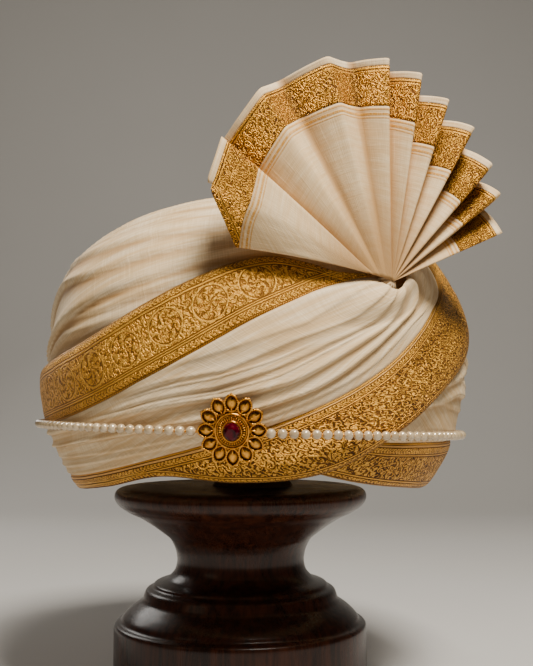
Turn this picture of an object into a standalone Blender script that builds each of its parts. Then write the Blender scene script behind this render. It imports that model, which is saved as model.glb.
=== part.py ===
# Tied turban with a pleated crest, a pearl string and a brooch, shown on a turned wooden stand.
# Metres, +Z up, the front faces -Y, the origin is the centre of the stand's base on the floor.

import math

import bmesh
import bpy
from mathutils import Vector

# Clearances between neighbouring pieces
GAP = 0.0004
STONE_CLEARANCE = 0.0003
LAYER_CLEARANCE = 0.0010
OVERLAP_CLEARANCE = 0.0018

# The turned stand
PLATE_TOP = 0.129
PLATE_RADIUS = 0.0867
NECK_RADIUS = 0.0433
DRUM_RADIUS = 0.0860
STAND_STEPS = 32

# The wound turban: a rounded dome about one centre over the stand's plate
DOME_SHIFT = 0.0082
DOME_ABOVE_PLATE = 0.084
CENTER = Vector((DOME_SHIFT, 0.0, PLATE_TOP + DOME_ABOVE_PLATE))
HALF_WIDTH = 0.1451
HALF_DEPTH = 0.155
DOME_RISE = 0.112
DOME_DROP = 0.132
ROUNDNESS = 2.2
CROWN_SEAT = -0.0050
CROWN_FOLD_DEPTH = 0.0030
FOLD_REACH = (0.020, 0.070)
FOLDS_FRONT = (9.0, 16.0)
FOLDS_BEHIND = (158.0, 168.0)
FOLDS_ABOVE = (-4.0, 4.0)
CROWN_RISE = (9.0, 24.0)
CROWN_SEGMENTS = 44
CROWN_RINGS = 27
OUTER_RINGS = 17

# The hollow for the head inside the dome
HOLLOW_HALF_WIDTH = 0.078
HOLLOW_HALF_DEPTH = 0.097
HOLLOW_RISE = 0.070
HOLLOW_BULGE = 0.6
RIM_ROLL_HEIGHT = 0.016

# The plain post that carries the dome from inside
POST_RADIUS = 0.020
POST_FOOT_RADIUS = 0.028
POST_CAP_RADIUS = 0.046
POST_CLEARANCE = 0.0008
POST_STEPS = 20

# The long wrap and its woven borders, laid over the dome; starts and ends are row positions
WRAP_SEAT = CROWN_SEAT + LAYER_CLEARANCE
PANEL_THICKNESS = 0.0050
PANEL_THINNEST = 0.45
PANEL_FOLDS = 5
PANEL_CELLS = 2 * PANEL_FOLDS
BORDER_THICKNESS = 0.0028
OVERLAP_RISE = BORDER_THICKNESS + OVERLAP_CLEARANCE
UPPER_BORDER_CELLS = 2
LOWER_BORDER_CELLS = 4
FRONT_ROWS = 14
FRONT_STEPS = 2
BACK_STEPS = 3
WRAP_START = 1
RAISED_ACROSS = (2.25, 2.7)
RAISED_START = (1.5, 3.5)
RAISED_END = (9.4, 11.4)
FOLDS_START = (1.0, 2.5)
FOLDS_END = (20.6, 22.4)
FOLD_VALLEY = 0.15
PANEL_SPAN = 28.0
BORDER_SPAN = 13.0

# The pleated crest and the knot under its foot
FOOT_DIRECTION = (33.2, 15.6)
FOOT_LIFT = 0.0058
FOOT_CLEAR = 0.0078
CREST_LENGTH = 0.135
CREST_BOW = 0.008
SELVEDGE_WIDTH = 0.0045
BAND_LEAST = 0.0030
CREST_THICKNESS = 0.0016
CREST_THINNEST = 0.25
SHARPEST_FOLD = 0.45
FIELD_CELLS = 4
BAND_CELLS = 2
KNOT_RADIUS = FOOT_CLEAR - GAP
KNOT_HALF_HEIGHT = 0.0074

# The pearl string and the brooch on the front
BEAD_DIAMETER = 0.0056
STRING_SEAT = WRAP_SEAT + PANEL_THICKNESS + 0.5 * BEAD_DIAMETER + GAP
STRING_LEVEL = 0.336
STRING_TILT = -0.027
STRING_POINTS = 56
STRING_SEARCH = (-60.0, 40.0)
SEARCH_STEPS = 40
BROOCH_DIRECTION = (-3.2, -15.05)
BROOCH_HALF_WIDTH = 0.01925
BROOCH_HALF_HEIGHT = 0.0206
BROOCH_DEPTH = 0.0062
PETALS = 12
PETAL_STEPS = 6
PETAL_NOTCH = 0.17
NOTCH_POWER = 1.6
PETAL_LEVEL = 0.9
STONE_HALF_WIDTH = 0.0048
STONE_HALF_HEIGHT = 0.0054
STONE_HEIGHT = 0.0050
STONE_FACETS = 12

# Wrap rows, degrees: azimuth and elevation of each line across the wrap
# upper border top, panel top, panel middle, panel bottom, lower border bottom
WRAP_ROWS = (
    ((34.0, 18.6), (33.5, 17.6), (35.5, 16.3), (37.0, 19.0), (38.5, 21.5)),
    ((27.5, 18.2), (28.0, 17.3), (34.3, 12.9), (45.0, 23.8), (46.0, 29.0)),
    ((20.5, 18.2), (21.5, 15.8), (31.6, 9.7), (57.0, 25.8), (60.0, 35.0)),
    ((13.0, 20.4), (15.5, 13.8), (28.0, 6.5), (65.0, 22.0), (80.0, 32.0)),
    ((4.5, 21.8), (8.1, 10.4), (24.0, 4.0), (60.5, 17.2), (89.0, 21.0)),
    ((-3.7, 20.0), (1.2, 7.1), (18.2, 1.1), (51.5, 11.8), (83.5, 9.5)),
    ((-10.0, 17.3), (-5.0, 3.7), (11.7, -1.9), (42.8, 5.4), (67.0, 1.0)),
    ((-16.4, 14.3), (-10.8, 0.5), (4.7, -4.8), (32.1, -2.5), (51.0, -7.2)),
    ((-22.5, 11.3), (-16.5, -2.4), (-2.8, -7.4), (20.0, -9.3), (37.0, -15.8)),
    ((-28.5, 8.4), (-22.5, -5.2), (-12.3, -10.3), (5.0, -15.4), (18.5, -25.2)),
    ((-35.0, 5.5), (-29.5, -8.2), (-22.5, -13.8), (-10.0, -19.8), (-3.0, -27.7)),
    ((-42.5, 2.8), (-37.5, -11.0), (-33.0, -17.4), (-25.5, -23.9), (-22.0, -27.3)),
    ((-51.0, 0.8), (-47.0, -13.4), (-45.5, -20.5), (-43.2, -27.7), (-42.5, -31.6)),
    ((-62.0, -1.2), (-60.0, -15.5), (-60.6, -22.8), (-61.0, -30.2), (-60.5, -34.0)),
    ((-79.0, -2.8), (-78.0, -17.0), (-79.0, -24.0), (-80.0, -31.2), (-80.0, -35.2)),
    ((-100.0, -3.6), (-100.0, -18.0), (-101.0, -24.2), (-102.0, -30.0), (-102.0, -35.2)),
    ((-125.0, -3.0), (-125.0, -17.5), (-125.5, -23.0), (-126.0, -27.5), (-126.0, -35.0)),
    ((-152.0, -1.0), (-152.0, -15.5), (-152.0, -20.6), (-152.0, -25.0), (-152.0, -34.0)),
    ((-180.0, 2.4), (-180.0, -12.0), (-180.0, -17.8), (-180.0, -23.0), (-180.0, -33.0)),
    ((-208.0, 6.5), (-208.0, -8.0), (-208.0, -15.0), (-208.0, -21.8), (-208.0, -33.4)),
    ((-234.0, 11.0), (-234.0, -3.5), (-235.0, -12.4), (-236.0, -21.2), (-236.0, -34.2)),
    ((-254.0, 16.0), (-256.0, 2.0), (-259.0, -9.5), (-262.0, -21.0), (-262.0, -35.0)),
    ((-266.0, 20.0), (-270.0, 6.5), (-278.5, -7.6), (-286.0, -21.0), (-284.0, -35.0)),
    ((-271.5, 22.5), (-280.0, 9.8), (-296.0, -6.0), (-310.0, -20.6), (-312.0, -32.5)),
    ((-274.0, 24.0), (-286.0, 12.0), (-309.0, -4.0), (-333.0, -19.4), (-343.0, -26.6)),
)

# Rim of the dome's outside: azimuth, elevation
RIM_ROWS = (
    (-180.0, -32.4), (-152.0, -33.4), (-126.0, -34.4), (-102.0, -34.6), (-80.0, -34.6),
    (-60.0, -33.4), (-42.0, -31.0), (-22.0, -26.8), (-3.0, -27.0), (18.0, -25.4),
    (30.0, -28.6), (48.0, -31.9), (76.0, -34.4), (98.0, -34.4), (126.0, -33.6),
    (152.0, -32.8), (180.0, -32.4),
)

# Upper edge of the wrap round the dome, above which the dome stands free: azimuth, elevation
WRAP_EDGE = (
    (-180.0, 2.4), (-152.0, -1.0), (-125.0, -3.0), (-100.0, -3.6), (-79.0, -2.8), (-62.0, -1.2),
    (-51.0, 0.8), (-35.0, 5.5), (-22.5, 11.3), (-10.0, 17.3), (4.5, 21.8), (20.5, 20.0),
    (34.0, 24.0), (46.0, 31.0), (60.0, 37.0), (80.0, 34.0), (92.0, 26.0), (106.0, 17.5),
    (126.0, 11.5), (152.0, 7.0), (180.0, 2.4),
)

# Rolled rim: share of the way in to the hollow, share of the roll's height
RIM_ROLL = ((0.06, -0.03), (0.22, 0.0), (0.45, 0.10), (0.75, 0.38), (1.0, 1.0))

# Folds of the dome about its two gathering points: angle up from the front, share of depth, width
CROWN_POLES = ((-110.0, -8.0), (90.0, 20.0))
CROWN_FOLDS = (
    (16.0, 0.80, 3.5), (31.0, 1.00, 4.5), (48.0, 0.80, 5.5), (69.0, 0.66, 6.5),
    (93.0, 0.66, 7.0), (118.0, 0.80, 6.5), (140.0, 0.93, 6.0), (158.0, 0.93, 5.0),
)

# Crest folds: angle right of upright, shares of the crest's length for its length and its
# set back, share of the fold inside the gold band, share of the bow forward
CREST_FOLDS = (
    (-79.6, 0.674, -0.178, 0.975, 1.00),
    (-64.4, 0.876, -0.222, 0.740, 1.00),
    (-51.2, 0.926, -0.178, 0.760, 0.75),
    (-52.5, 0.936, -0.089, 0.770, 0.75),
    (-35.2, 0.981, -0.119, 0.790, 0.50),
    (-28.6, 1.000, -0.037, 0.800, 0.50),
    (-16.2, 0.997, -0.067, 0.790, 0.25),
    (-9.8, 0.990, 0.015, 0.790, 0.25),
    (-0.4, 0.966, -0.022, 0.785, 0.0),
    (0.1, 0.953, 0.067, 0.780, 0.0),
    (8.9, 0.928, 0.030, 0.760, 0.0),
    (9.3, 0.873, 0.119, 0.745, 0.0),
    (18.3, 0.860, 0.081, 0.735, 0.0),
    (18.4, 0.809, 0.178, 0.710, 0.0),
    (29.0, 0.812, 0.148, 0.710, 0.0),
    (29.2, 0.747, 0.237, 0.680, 0.0),
    (40.9, 0.742, 0.215, 0.670, 0.0),
    (40.4, 0.673, 0.296, 0.645, 0.0),
    (50.6, 0.690, 0.274, 0.640, 0.0),
    (50.3, 0.617, 0.348, 0.610, 0.0),
    (64.1, 0.604, 0.311, 0.600, 0.0),
)

# Pearl string: azimuth, share of the overlap's rise that it rides over
STRING_RIDES = (
    (-180.0, 0.0), (-30.0, 0.0), (-4.0, 0.04), (4.0, 0.18), (12.0, 0.66),
    (40.0, 0.70), (58.0, 0.48), (74.0, 0.10), (90.0, 0.0), (180.0, 0.0),
)

# Brooch rings: share of the way out from the collar, share of depth, petal share, height swing
BROOCH_RINGS = (
    (0.0, 0.55, 0.0, 0.0),
    (0.01, 1.0, 0.0, 0.0),
    (0.14, 1.0, 0.0, 0.0),
    (0.24, 0.58, 0.1, 0.0),
    (0.55, 0.77, 0.6, 1.9),
    (0.82, 0.58, 0.9, 2.2),
    (1.0, 0.26, 1.0, 0.6),
    (0.985, 0.0, 1.0, 0.0),
)
COLLAR_INNER = 0.30

# Stone levels from its seat up: share of the outline, share of its height
STONE_LEVELS = ((0.86, 0.0), (1.0, 0.30), (0.82, 0.74), (0.56, 1.0))

# Stand profile from the plate down: radius it follows, share of it, share of the plate's height
STAND_PROFILE = (
    (PLATE_RADIUS, 0.0, 1.0), (PLATE_RADIUS, 0.923, 1.0), (PLATE_RADIUS, 0.976, 0.989),
    (PLATE_RADIUS, 1.0, 0.964), (PLATE_RADIUS, 0.994, 0.929), (PLATE_RADIUS, 0.955, 0.899),
    (PLATE_RADIUS, 0.917, 0.884), (PLATE_RADIUS, 0.890, 0.871), (PLATE_RADIUS, 0.796, 0.843),
    (PLATE_RADIUS, 0.692, 0.798), (NECK_RADIUS, 1.219, 0.757), (NECK_RADIUS, 1.127, 0.733),
    (NECK_RADIUS, 1.085, 0.712), (NECK_RADIUS, 1.025, 0.668), (NECK_RADIUS, 1.0, 0.612),
    (NECK_RADIUS, 1.035, 0.560), (NECK_RADIUS, 1.155, 0.518), (DRUM_RADIUS, 0.688, 0.496),
    (DRUM_RADIUS, 0.693, 0.479), (DRUM_RADIUS, 0.747, 0.467), (DRUM_RADIUS, 0.763, 0.443),
    (DRUM_RADIUS, 0.777, 0.411), (DRUM_RADIUS, 0.866, 0.372), (DRUM_RADIUS, 0.928, 0.332),
    (DRUM_RADIUS, 0.944, 0.307), (DRUM_RADIUS, 0.988, 0.298), (DRUM_RADIUS, 1.0, 0.281),
    (DRUM_RADIUS, 1.0, 0.023), (DRUM_RADIUS, 0.977, 0.0), (DRUM_RADIUS, 0.0, 0.0),
)

# Post profile below its top: radius it follows, share of it, share of the cap's radius below the top
POST_CAP_PROFILE = (
    (POST_CAP_RADIUS, 0.0, 0.0), (POST_CAP_RADIUS, 0.40, 0.074), (POST_CAP_RADIUS, 0.75, 0.183),
    (POST_CAP_RADIUS, 1.0, 0.391), (POST_CAP_RADIUS, 1.0, 0.609), (POST_RADIUS, 1.0, 0.717),
)


def clear_scene():
    """Remove everything the start-up file holds."""
    for item in list(bpy.data.objects):
        bpy.data.objects.remove(item, do_unlink=True)


def make_collection(name):
    """Make a collection in the scene."""
    group = bpy.data.collections.new(name)
    bpy.context.scene.collection.children.link(group)
    return group


def make_material(name, colour, roughness, metallic):
    """Make a Principled material."""
    material = bpy.data.materials.new(name)
    material.use_nodes = True
    shader = material.node_tree.nodes["Principled BSDF"]
    shader.inputs["Base Color"].default_value = (*colour, 1.0)
    shader.inputs["Roughness"].default_value = roughness
    shader.inputs["Metallic"].default_value = metallic
    return material


def make_object(name, mesh, group, material, smooth=True):
    """Link a mesh as a named object."""
    item = bpy.data.objects.new(name, mesh)
    group.objects.link(item)
    mesh.materials.append(material)
    for face in mesh.polygons:
        face.use_smooth = smooth
    return item


def mesh_from(bm, name):
    """Turn a working mesh into mesh data."""
    mesh = bpy.data.meshes.new(name)
    bm.to_mesh(mesh)
    bm.free()
    return mesh


def ease(value, start, end):
    """Rise smoothly from 0 to 1 between two values."""
    share = min(max((value - start) / (end - start), 0.0), 1.0)
    return share * share * (3.0 - 2.0 * share)


def between(rows, place):
    """Read a two-column table at a place, straight between its rows."""
    for first, second in zip(rows, rows[1:]):
        if place <= second[0]:
            share = (place - first[0]) / (second[0] - first[0])
            return first[1] + (second[1] - first[1]) * share
    return rows[-1][1]


def direction(azimuth, elevation):
    """Unit direction: azimuth from the front toward +X, elevation up."""
    turn = math.radians(azimuth)
    lift = math.radians(elevation)
    return Vector((math.sin(turn) * math.cos(lift), -math.cos(turn) * math.cos(lift), math.sin(lift)))


def on_dome(heading, lift):
    """Point on the dome in a direction, lifted outward."""
    flat = math.hypot(heading.x / HALF_WIDTH, heading.y / HALF_DEPTH)
    tall = abs(heading.z) / (DOME_RISE if heading.z > 0.0 else DOME_DROP)
    reach = (flat ** ROUNDNESS + tall ** ROUNDNESS) ** (-1.0 / ROUNDNESS)
    return CENTER + heading * (reach + lift)


def dome_normal(heading):
    """Outward normal of the dome in a direction."""
    step = 0.001
    side = Vector((-heading.y, heading.x, 0.0)).normalized()
    over = side.cross(heading)
    here = on_dome(heading, 0.0)
    first = on_dome((heading + side * step).normalized(), 0.0) - here
    second = on_dome((heading + over * step).normalized(), 0.0) - here
    normal = first.cross(second).normalized()
    return normal if normal.dot(heading) > 0.0 else -normal


def spline(points, place):
    """Smooth curve through a list of vectors."""
    last = len(points) - 1
    index = min(max(int(math.floor(place)), 0), last - 1)
    share = place - index
    before = points[max(index - 1, 0)]
    first = points[index]
    second = points[index + 1]
    after = points[min(index + 2, last)]
    cubic = (3.0 * first - before - 3.0 * second + after) * share ** 3
    square = (2.0 * before - 5.0 * first + 4.0 * second - after) * share ** 2
    return (2.0 * first + (second - before) * share + square + cubic) * 0.5


WRAP_LINES = tuple(tuple(direction(*row[line]) for row in WRAP_ROWS) for line in range(5))


def wrap_heading(along, across):
    """Direction on the wrap: across 0 to 1 upper border, 1 to 2 panel, 2 to 3 lower border."""
    lines = [spline(line, along).normalized() for line in WRAP_LINES]
    if across <= 1.0:
        heading = lines[0].lerp(lines[1], across)
    elif across >= 2.0:
        heading = lines[3].lerp(lines[4], across - 2.0)
    else:
        share = across - 1.0
        heading = lines[1] * (1.0 - share) * (1.0 - 2.0 * share)
        heading = heading + lines[2] * 4.0 * share * (1.0 - share)
        heading = heading + lines[3] * share * (2.0 * share - 1.0)
    return heading.normalized()


def wrap_lift(along, across):
    """Lift of the wrap's underside, raised where its start lies over its end."""
    over = ease(across, *RAISED_ACROSS) * ease(along, *RAISED_START) * (1.0 - ease(along, *RAISED_END))
    return WRAP_SEAT + OVERLAP_RISE * over


def wrap_places():
    """Row position of every column along the wrap: close together in front, wider apart behind."""
    front = [step / FRONT_STEPS for step in range(WRAP_START * FRONT_STEPS, FRONT_ROWS * FRONT_STEPS)]
    behind = range((len(WRAP_ROWS) - 1 - FRONT_ROWS) * BACK_STEPS + 1)
    return front + [FRONT_ROWS + step / BACK_STEPS for step in behind]


def make_grid(columns, rows):
    """Flat grid whose coordinates run from 0 to 1."""
    bm = bmesh.new()
    bmesh.ops.create_grid(bm, x_segments=columns, y_segments=rows, size=0.5)
    for vertex in bm.verts:
        vertex.co.x += 0.5
        vertex.co.y += 0.5
    return bm


def make_wrap_strip(name, group, material, start, end, cells, thickness, thinnest):
    """Lay one strip of the wrap over the dome and thicken it outward."""
    places = wrap_places()
    steps = len(places) - 1
    bm = make_grid(steps, cells)
    weights = []
    for vertex in bm.verts:
        along = places[round(vertex.co.x * steps)]
        across = start + (end - start) * vertex.co.y
        weights.append(fold_weight(along, across))
        vertex.co = on_dome(wrap_heading(along, across), wrap_lift(along, across))
    item = make_object(name, mesh_from(bm, name), group, material)
    shares = item.vertex_groups.new(name="fold_height")
    for index, weight in enumerate(weights):
        shares.add([index], weight, "REPLACE")
    shell = item.modifiers.new("Cloth thickness", "SOLIDIFY")
    shell.thickness = thickness
    shell.offset = 1.0
    shell.vertex_group = "fold_height"
    shell.thickness_vertex_group = thinnest
    return item


def fold_weight(along, across):
    """Height share of the panel's folds, which run along the wrap."""
    if across < 1.0 or across > 2.0:
        return 1.0
    wave = 0.5 - 0.5 * math.cos(2.0 * math.pi * PANEL_FOLDS * (across - 1.0))
    fade = ease(along, *FOLDS_START) * (1.0 - ease(along, *FOLDS_END))
    return FOLD_VALLEY + (1.0 - FOLD_VALLEY) * wave * fade


def gap_share(span):
    """Share of a strip's width that the gap beside it takes, for a strip that spans an angle."""
    return GAP / (math.radians(span) * HALF_DEPTH)


def crown_lift(heading):
    """Lift of the dome: seated under the wrap, full height over the top, with valleys between folds."""
    left = on_dome(direction(*CROWN_POLES[0]), 0.0)
    right = on_dome(direction(*CROWN_POLES[1]), 0.0)
    axis = (right - left).normalized()
    arm = on_dome(heading, 0.0) - left
    arm = arm - axis * arm.dot(axis)
    up = Vector((0.0, 0.0, 1.0))
    up = (up - axis * up.dot(axis)).normalized()
    front = axis.cross(up)
    angle = math.degrees(math.atan2(arm.dot(up), arm.dot(front)))
    reach = ease(arm.length, *FOLD_REACH)
    azimuth = math.degrees(math.atan2(heading.x, -heading.y))
    above = math.degrees(math.asin(heading.z)) - between(WRAP_EDGE, azimuth)
    rise = ease(above, *CROWN_RISE)
    valleys = sum(depth * math.exp(-((angle - at) / width) ** 2) for at, depth, width in CROWN_FOLDS)
    valleys = valleys * CROWN_FOLD_DEPTH
    cover = ease(angle, *FOLDS_FRONT) * (1.0 - ease(angle, *FOLDS_BEHIND)) * ease(above, *FOLDS_ABOVE)
    return CROWN_SEAT * (1.0 - rise) - valleys * reach * cover


def crown_point(azimuth, ring):
    """Point of the hollow dome: outside, rolled rim, then the hollow for the head."""
    rim = on_dome(direction(azimuth, between(RIM_ROWS, azimuth)), CROWN_SEAT)
    if ring <= OUTER_RINGS:
        elevation = 90.0 - (90.0 - between(RIM_ROWS, azimuth)) * ring / OUTER_RINGS
        heading = direction(azimuth, elevation)
        return on_dome(heading, crown_lift(heading))
    turn = math.radians(azimuth)
    squash = math.hypot(math.sin(turn) / HOLLOW_HALF_WIDTH, math.cos(turn) / HOLLOW_HALF_DEPTH)
    wall = CENTER + Vector((math.sin(turn), -math.cos(turn), 0.0)) / squash
    wall.z = rim.z
    roll = ring - OUTER_RINGS
    if roll <= len(RIM_ROLL):
        share, rise = RIM_ROLL[roll - 1]
        return rim.lerp(wall, share) + Vector((0.0, 0.0, rise * RIM_ROLL_HEIGHT))
    share = (roll - len(RIM_ROLL)) / (CROWN_RINGS - OUTER_RINGS - len(RIM_ROLL))
    reach = max(math.cos(0.5 * math.pi * share), 0.0) ** HOLLOW_BULGE
    height = math.sin(0.5 * math.pi * share)
    foot = wall.z + RIM_ROLL_HEIGHT
    point = Vector((CENTER.x, CENTER.y, 0.0)).lerp(Vector((wall.x, wall.y, 0.0)), reach)
    point.z = foot + (CENTER.z + HOLLOW_RISE - foot) * height
    return point


def make_crown(group, material):
    """Wound dome with a rolled rim and a hollow for the head."""
    bm = bmesh.new()
    bmesh.ops.create_uvsphere(bm, u_segments=CROWN_SEGMENTS, v_segments=CROWN_RINGS, radius=1.0)
    for vertex in bm.verts:
        place = vertex.co.normalized()
        tilt = math.degrees(math.acos(max(min(place.z, 1.0), -1.0)))
        azimuth = math.degrees(math.atan2(place.x, -place.y))
        vertex.co = crown_point(azimuth, round(tilt * CROWN_RINGS / 180.0))
    return make_object("crown_wrap", mesh_from(bm, "crown_wrap"), group, material)


def make_wrap(group, cloth, zari):
    """Long wrap with its two woven borders."""
    panel_gap = gap_share(PANEL_SPAN)
    border_gap = gap_share(BORDER_SPAN)
    upper = (0.0, 1.0 - border_gap)
    panel = (1.0 + panel_gap, 2.0 - panel_gap)
    lower = (2.0 + border_gap, 3.0)
    make_wrap_strip("upper_border", group, zari, *upper, UPPER_BORDER_CELLS, BORDER_THICKNESS, 1.0)
    make_wrap_strip("wrap_panel", group, cloth, *panel, PANEL_CELLS, PANEL_THICKNESS, PANEL_THINNEST)
    make_wrap_strip("lower_border", group, zari, *lower, LOWER_BORDER_CELLS, BORDER_THICKNESS, 1.0)


def crest_foot():
    """Point that all the crest's folds run to."""
    return on_dome(direction(*FOOT_DIRECTION), FOOT_LIFT)


def crest_point(fold, reach):
    """Point on a crest fold at a distance share of its length."""
    angle, length, back, inner, bow = fold
    turn = math.radians(angle)
    arm = Vector((length * math.sin(turn), back, length * math.cos(turn))) * CREST_LENGTH
    point = crest_foot() + arm * reach
    point.y -= CREST_BOW * bow * 4.0 * reach * (1.0 - reach)
    return point


def crest_offsets():
    """Offset of the cloth's face from its middle at each fold, for an even wall."""
    ends = [crest_point(fold, 1.0) - crest_foot() for fold in CREST_FOLDS]
    faces = [second.cross(first).normalized() for first, second in zip(ends, ends[1:])]
    offsets = []
    for index in range(len(ends)):
        before = faces[max(index - 1, 0)]
        after = faces[min(index, len(faces) - 1)]
        bisector = (before + after).normalized()
        offsets.append(bisector / max(bisector.dot(before), SHARPEST_FOLD))
    return offsets


def make_crest_strip(name, group, material, cells, limits):
    """Pleated strip of the crest between two reaches along every fold."""
    columns = len(CREST_FOLDS) - 1
    offsets = crest_offsets()
    bm = make_grid(columns, cells)
    places = [(round(vertex.co.x * columns), vertex.co.y) for vertex in bm.verts]
    sheet = list(bm.verts)
    bmesh.ops.extrude_face_region(bm, geom=list(bm.faces), use_keep_orig=True)
    fronts = [vertex for vertex in bm.verts if vertex not in sheet]
    spots = {(round(vertex.co.x * columns), round(vertex.co.y * cells)): vertex for vertex in fronts}
    for vertex, (column, share) in zip(sheet, places):
        fold = CREST_FOLDS[column]
        start, end = limits(fold)
        reach = start + (end - start) * share
        wall = 0.5 * CREST_THICKNESS * min(CREST_THINNEST + reach, 1.0)
        front = spots[(column, round(share * cells))]
        vertex.co = crest_point(fold, reach) - offsets[column] * wall
        front.co = crest_point(fold, reach) + offsets[column] * wall
    bmesh.ops.recalc_face_normals(bm, faces=list(bm.faces))
    return make_object(name, mesh_from(bm, name), group, material, smooth=False)


def reach_share(fold, length):
    """Share of a fold's length that a real length along it takes."""
    return length / (fold[1] * CREST_LENGTH)


def band_start(fold):
    """Reach at which the gold band starts, always a little inside the outer edge."""
    return min(fold[3], 1.0 - reach_share(fold, SELVEDGE_WIDTH + BAND_LEAST))


def field_limits(fold):
    """Reach of the plain field: from the foot to the gold band."""
    return reach_share(fold, FOOT_CLEAR), band_start(fold) - reach_share(fold, 0.5 * GAP)


def band_limits(fold):
    """Reach of the gold band."""
    edge = 1.0 - reach_share(fold, SELVEDGE_WIDTH + 0.5 * GAP)
    return band_start(fold) + reach_share(fold, 0.5 * GAP), edge


def selvedge_limits(fold):
    """Reach of the plain outer edge."""
    return 1.0 - reach_share(fold, SELVEDGE_WIDTH - 0.5 * GAP), 1.0


def make_crest(group, cloth, zari):
    """Pleated crest: plain field, gold band and plain outer edge."""
    make_crest_strip("crest_field", group, cloth, FIELD_CELLS, field_limits)
    make_crest_strip("crest_border", group, zari, BAND_CELLS, band_limits)
    make_crest_strip("crest_selvedge", group, cloth, 1, selvedge_limits)


def make_knot(group, material):
    """Gathered knot under the foot of the crest."""
    heading = direction(*FOOT_DIRECTION)
    normal = dome_normal(heading)
    # The dome's flat faces lie just inside its curve, which leaves the knot its gap
    middle = on_dome(heading, CROWN_SEAT) + normal * KNOT_HALF_HEIGHT
    side = Vector((0.0, 0.0, 1.0)).cross(normal).normalized()
    over = normal.cross(side)
    bm = bmesh.new()
    bmesh.ops.create_uvsphere(bm, u_segments=16, v_segments=8, radius=1.0)
    for vertex in bm.verts:
        place = vertex.co.copy()
        flat = (side * place.x + over * place.y) * KNOT_RADIUS
        vertex.co = middle + flat + normal * place.z * KNOT_HALF_HEIGHT
    return make_object("knot_tuck", mesh_from(bm, "knot_tuck"), group, material)


def string_lift(azimuth):
    """Lift of the pearl string's centre line over the dome."""
    return STRING_SEAT + OVERLAP_RISE * between(STRING_RIDES, azimuth)


def string_point(azimuth):
    """Point on the centre line of the pearl string, found by halving the elevation range."""
    lift = string_lift(azimuth)
    low, high = STRING_SEARCH
    for _ in range(SEARCH_STEPS):
        middle = 0.5 * (low + high)
        point = on_dome(direction(azimuth, middle), lift)
        level = CENTER.z - STRING_LEVEL * DOME_DROP + STRING_TILT * (point.x - CENTER.x)
        if point.z > level:
            high = middle
        else:
            low = middle
    return on_dome(direction(azimuth, 0.5 * (low + high)), lift)


def make_string(group, material):
    """Closed string of pearls round the wrap, as one round tube."""
    curve = bpy.data.curves.new("pearl_string", "CURVE")
    curve.dimensions = "3D"
    curve.bevel_depth = 0.5 * BEAD_DIAMETER
    curve.bevel_resolution = 2
    curve.use_fill_caps = True
    line = curve.splines.new("POLY")
    line.points.add(STRING_POINTS - 1)
    for index in range(STRING_POINTS):
        point = string_point(-180.0 + 360.0 * index / STRING_POINTS)
        line.points[index].co = (*point, 1.0)
    line.use_cyclic_u = True
    curve.materials.append(material)
    item = bpy.data.objects.new("pearl_string", curve)
    group.objects.link(item)
    return item


def brooch_frame():
    """Middle of the brooch's back, and its right, up and outward directions."""
    heading = direction(*BROOCH_DIRECTION)
    normal = dome_normal(heading)
    seat = string_lift(BROOCH_DIRECTION[0]) + 0.5 * BEAD_DIAMETER + GAP
    middle = on_dome(heading, 0.0) + normal * seat
    side = normal.cross(Vector((0.0, 0.0, 1.0))).normalized() * -1.0
    over = normal.cross(side)
    return middle, side, over, normal


def petal_outline(turn):
    """Outline share round the rosette, full at each petal's tip."""
    wave = abs(math.sin(0.5 * PETALS * turn))
    return 1.0 - PETAL_NOTCH * wave ** NOTCH_POWER


def brooch_rings():
    """Rings of the setting from the middle of its front to the middle of its back."""
    floor = BROOCH_RINGS[0][1]
    rings = [(0.0, floor, 0.0, 0.0)]
    for way, height, petal, swing in BROOCH_RINGS:
        rings.append((COLLAR_INNER + (1.0 - COLLAR_INNER) * way, height, petal, swing))
    rings.append((0.0, 0.0, 0.0, 0.0))
    return rings


def make_brooch(group, material):
    """Petalled rosette with a raised collar round the stone."""
    middle, side, over, normal = brooch_frame()
    table = brooch_rings()
    rings = len(table) - 1
    bm = bmesh.new()
    bmesh.ops.create_uvsphere(bm, u_segments=PETALS * PETAL_STEPS, v_segments=rings, radius=1.0)
    for vertex in bm.verts:
        place = vertex.co.normalized()
        tilt = math.degrees(math.acos(max(min(place.z, 1.0), -1.0)))
        turn = math.atan2(place.x, place.y)
        share, height, petal, swing = table[round(tilt * rings / 180.0)]
        reach = share * (1.0 - petal * (1.0 - petal_outline(turn)))
        crest = swing * (petal_outline(turn) - PETAL_LEVEL)
        flat = side * reach * math.sin(turn) * BROOCH_HALF_WIDTH
        flat = flat + over * reach * math.cos(turn) * BROOCH_HALF_HEIGHT
        vertex.co = middle + flat + normal * BROOCH_DEPTH * (height + crest)
    return make_object("brooch_setting", mesh_from(bm, "brooch_setting"), group, material)


def make_stone(group, material):
    """Oval cut stone with a flat table, seated in the collar."""
    middle, side, over, normal = brooch_frame()
    seat = BROOCH_DEPTH * BROOCH_RINGS[0][1] + STONE_CLEARANCE
    steps = len(STONE_LEVELS) - 1
    bm = bmesh.new()
    bmesh.ops.create_cone(
        bm, cap_ends=True, cap_tris=False, segments=STONE_FACETS, radius1=1.0, radius2=1.0, depth=1.0
    )
    wall = [edge for edge in bm.edges if abs(edge.verts[0].co.z - edge.verts[1].co.z) > 0.5]
    bmesh.ops.subdivide_edges(bm, edges=wall, cuts=steps - 1, use_grid_fill=True)
    for vertex in bm.verts:
        reach, height = STONE_LEVELS[round((vertex.co.z + 0.5) * steps)]
        turn = math.atan2(vertex.co.x, vertex.co.y)
        flat = side * reach * math.sin(turn) * STONE_HALF_WIDTH
        flat = flat + over * reach * math.cos(turn) * STONE_HALF_HEIGHT
        vertex.co = middle + flat + normal * (seat + height * STONE_HEIGHT)
    return make_object("brooch_stone", mesh_from(bm, "brooch_stone"), group, material, smooth=False)


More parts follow.
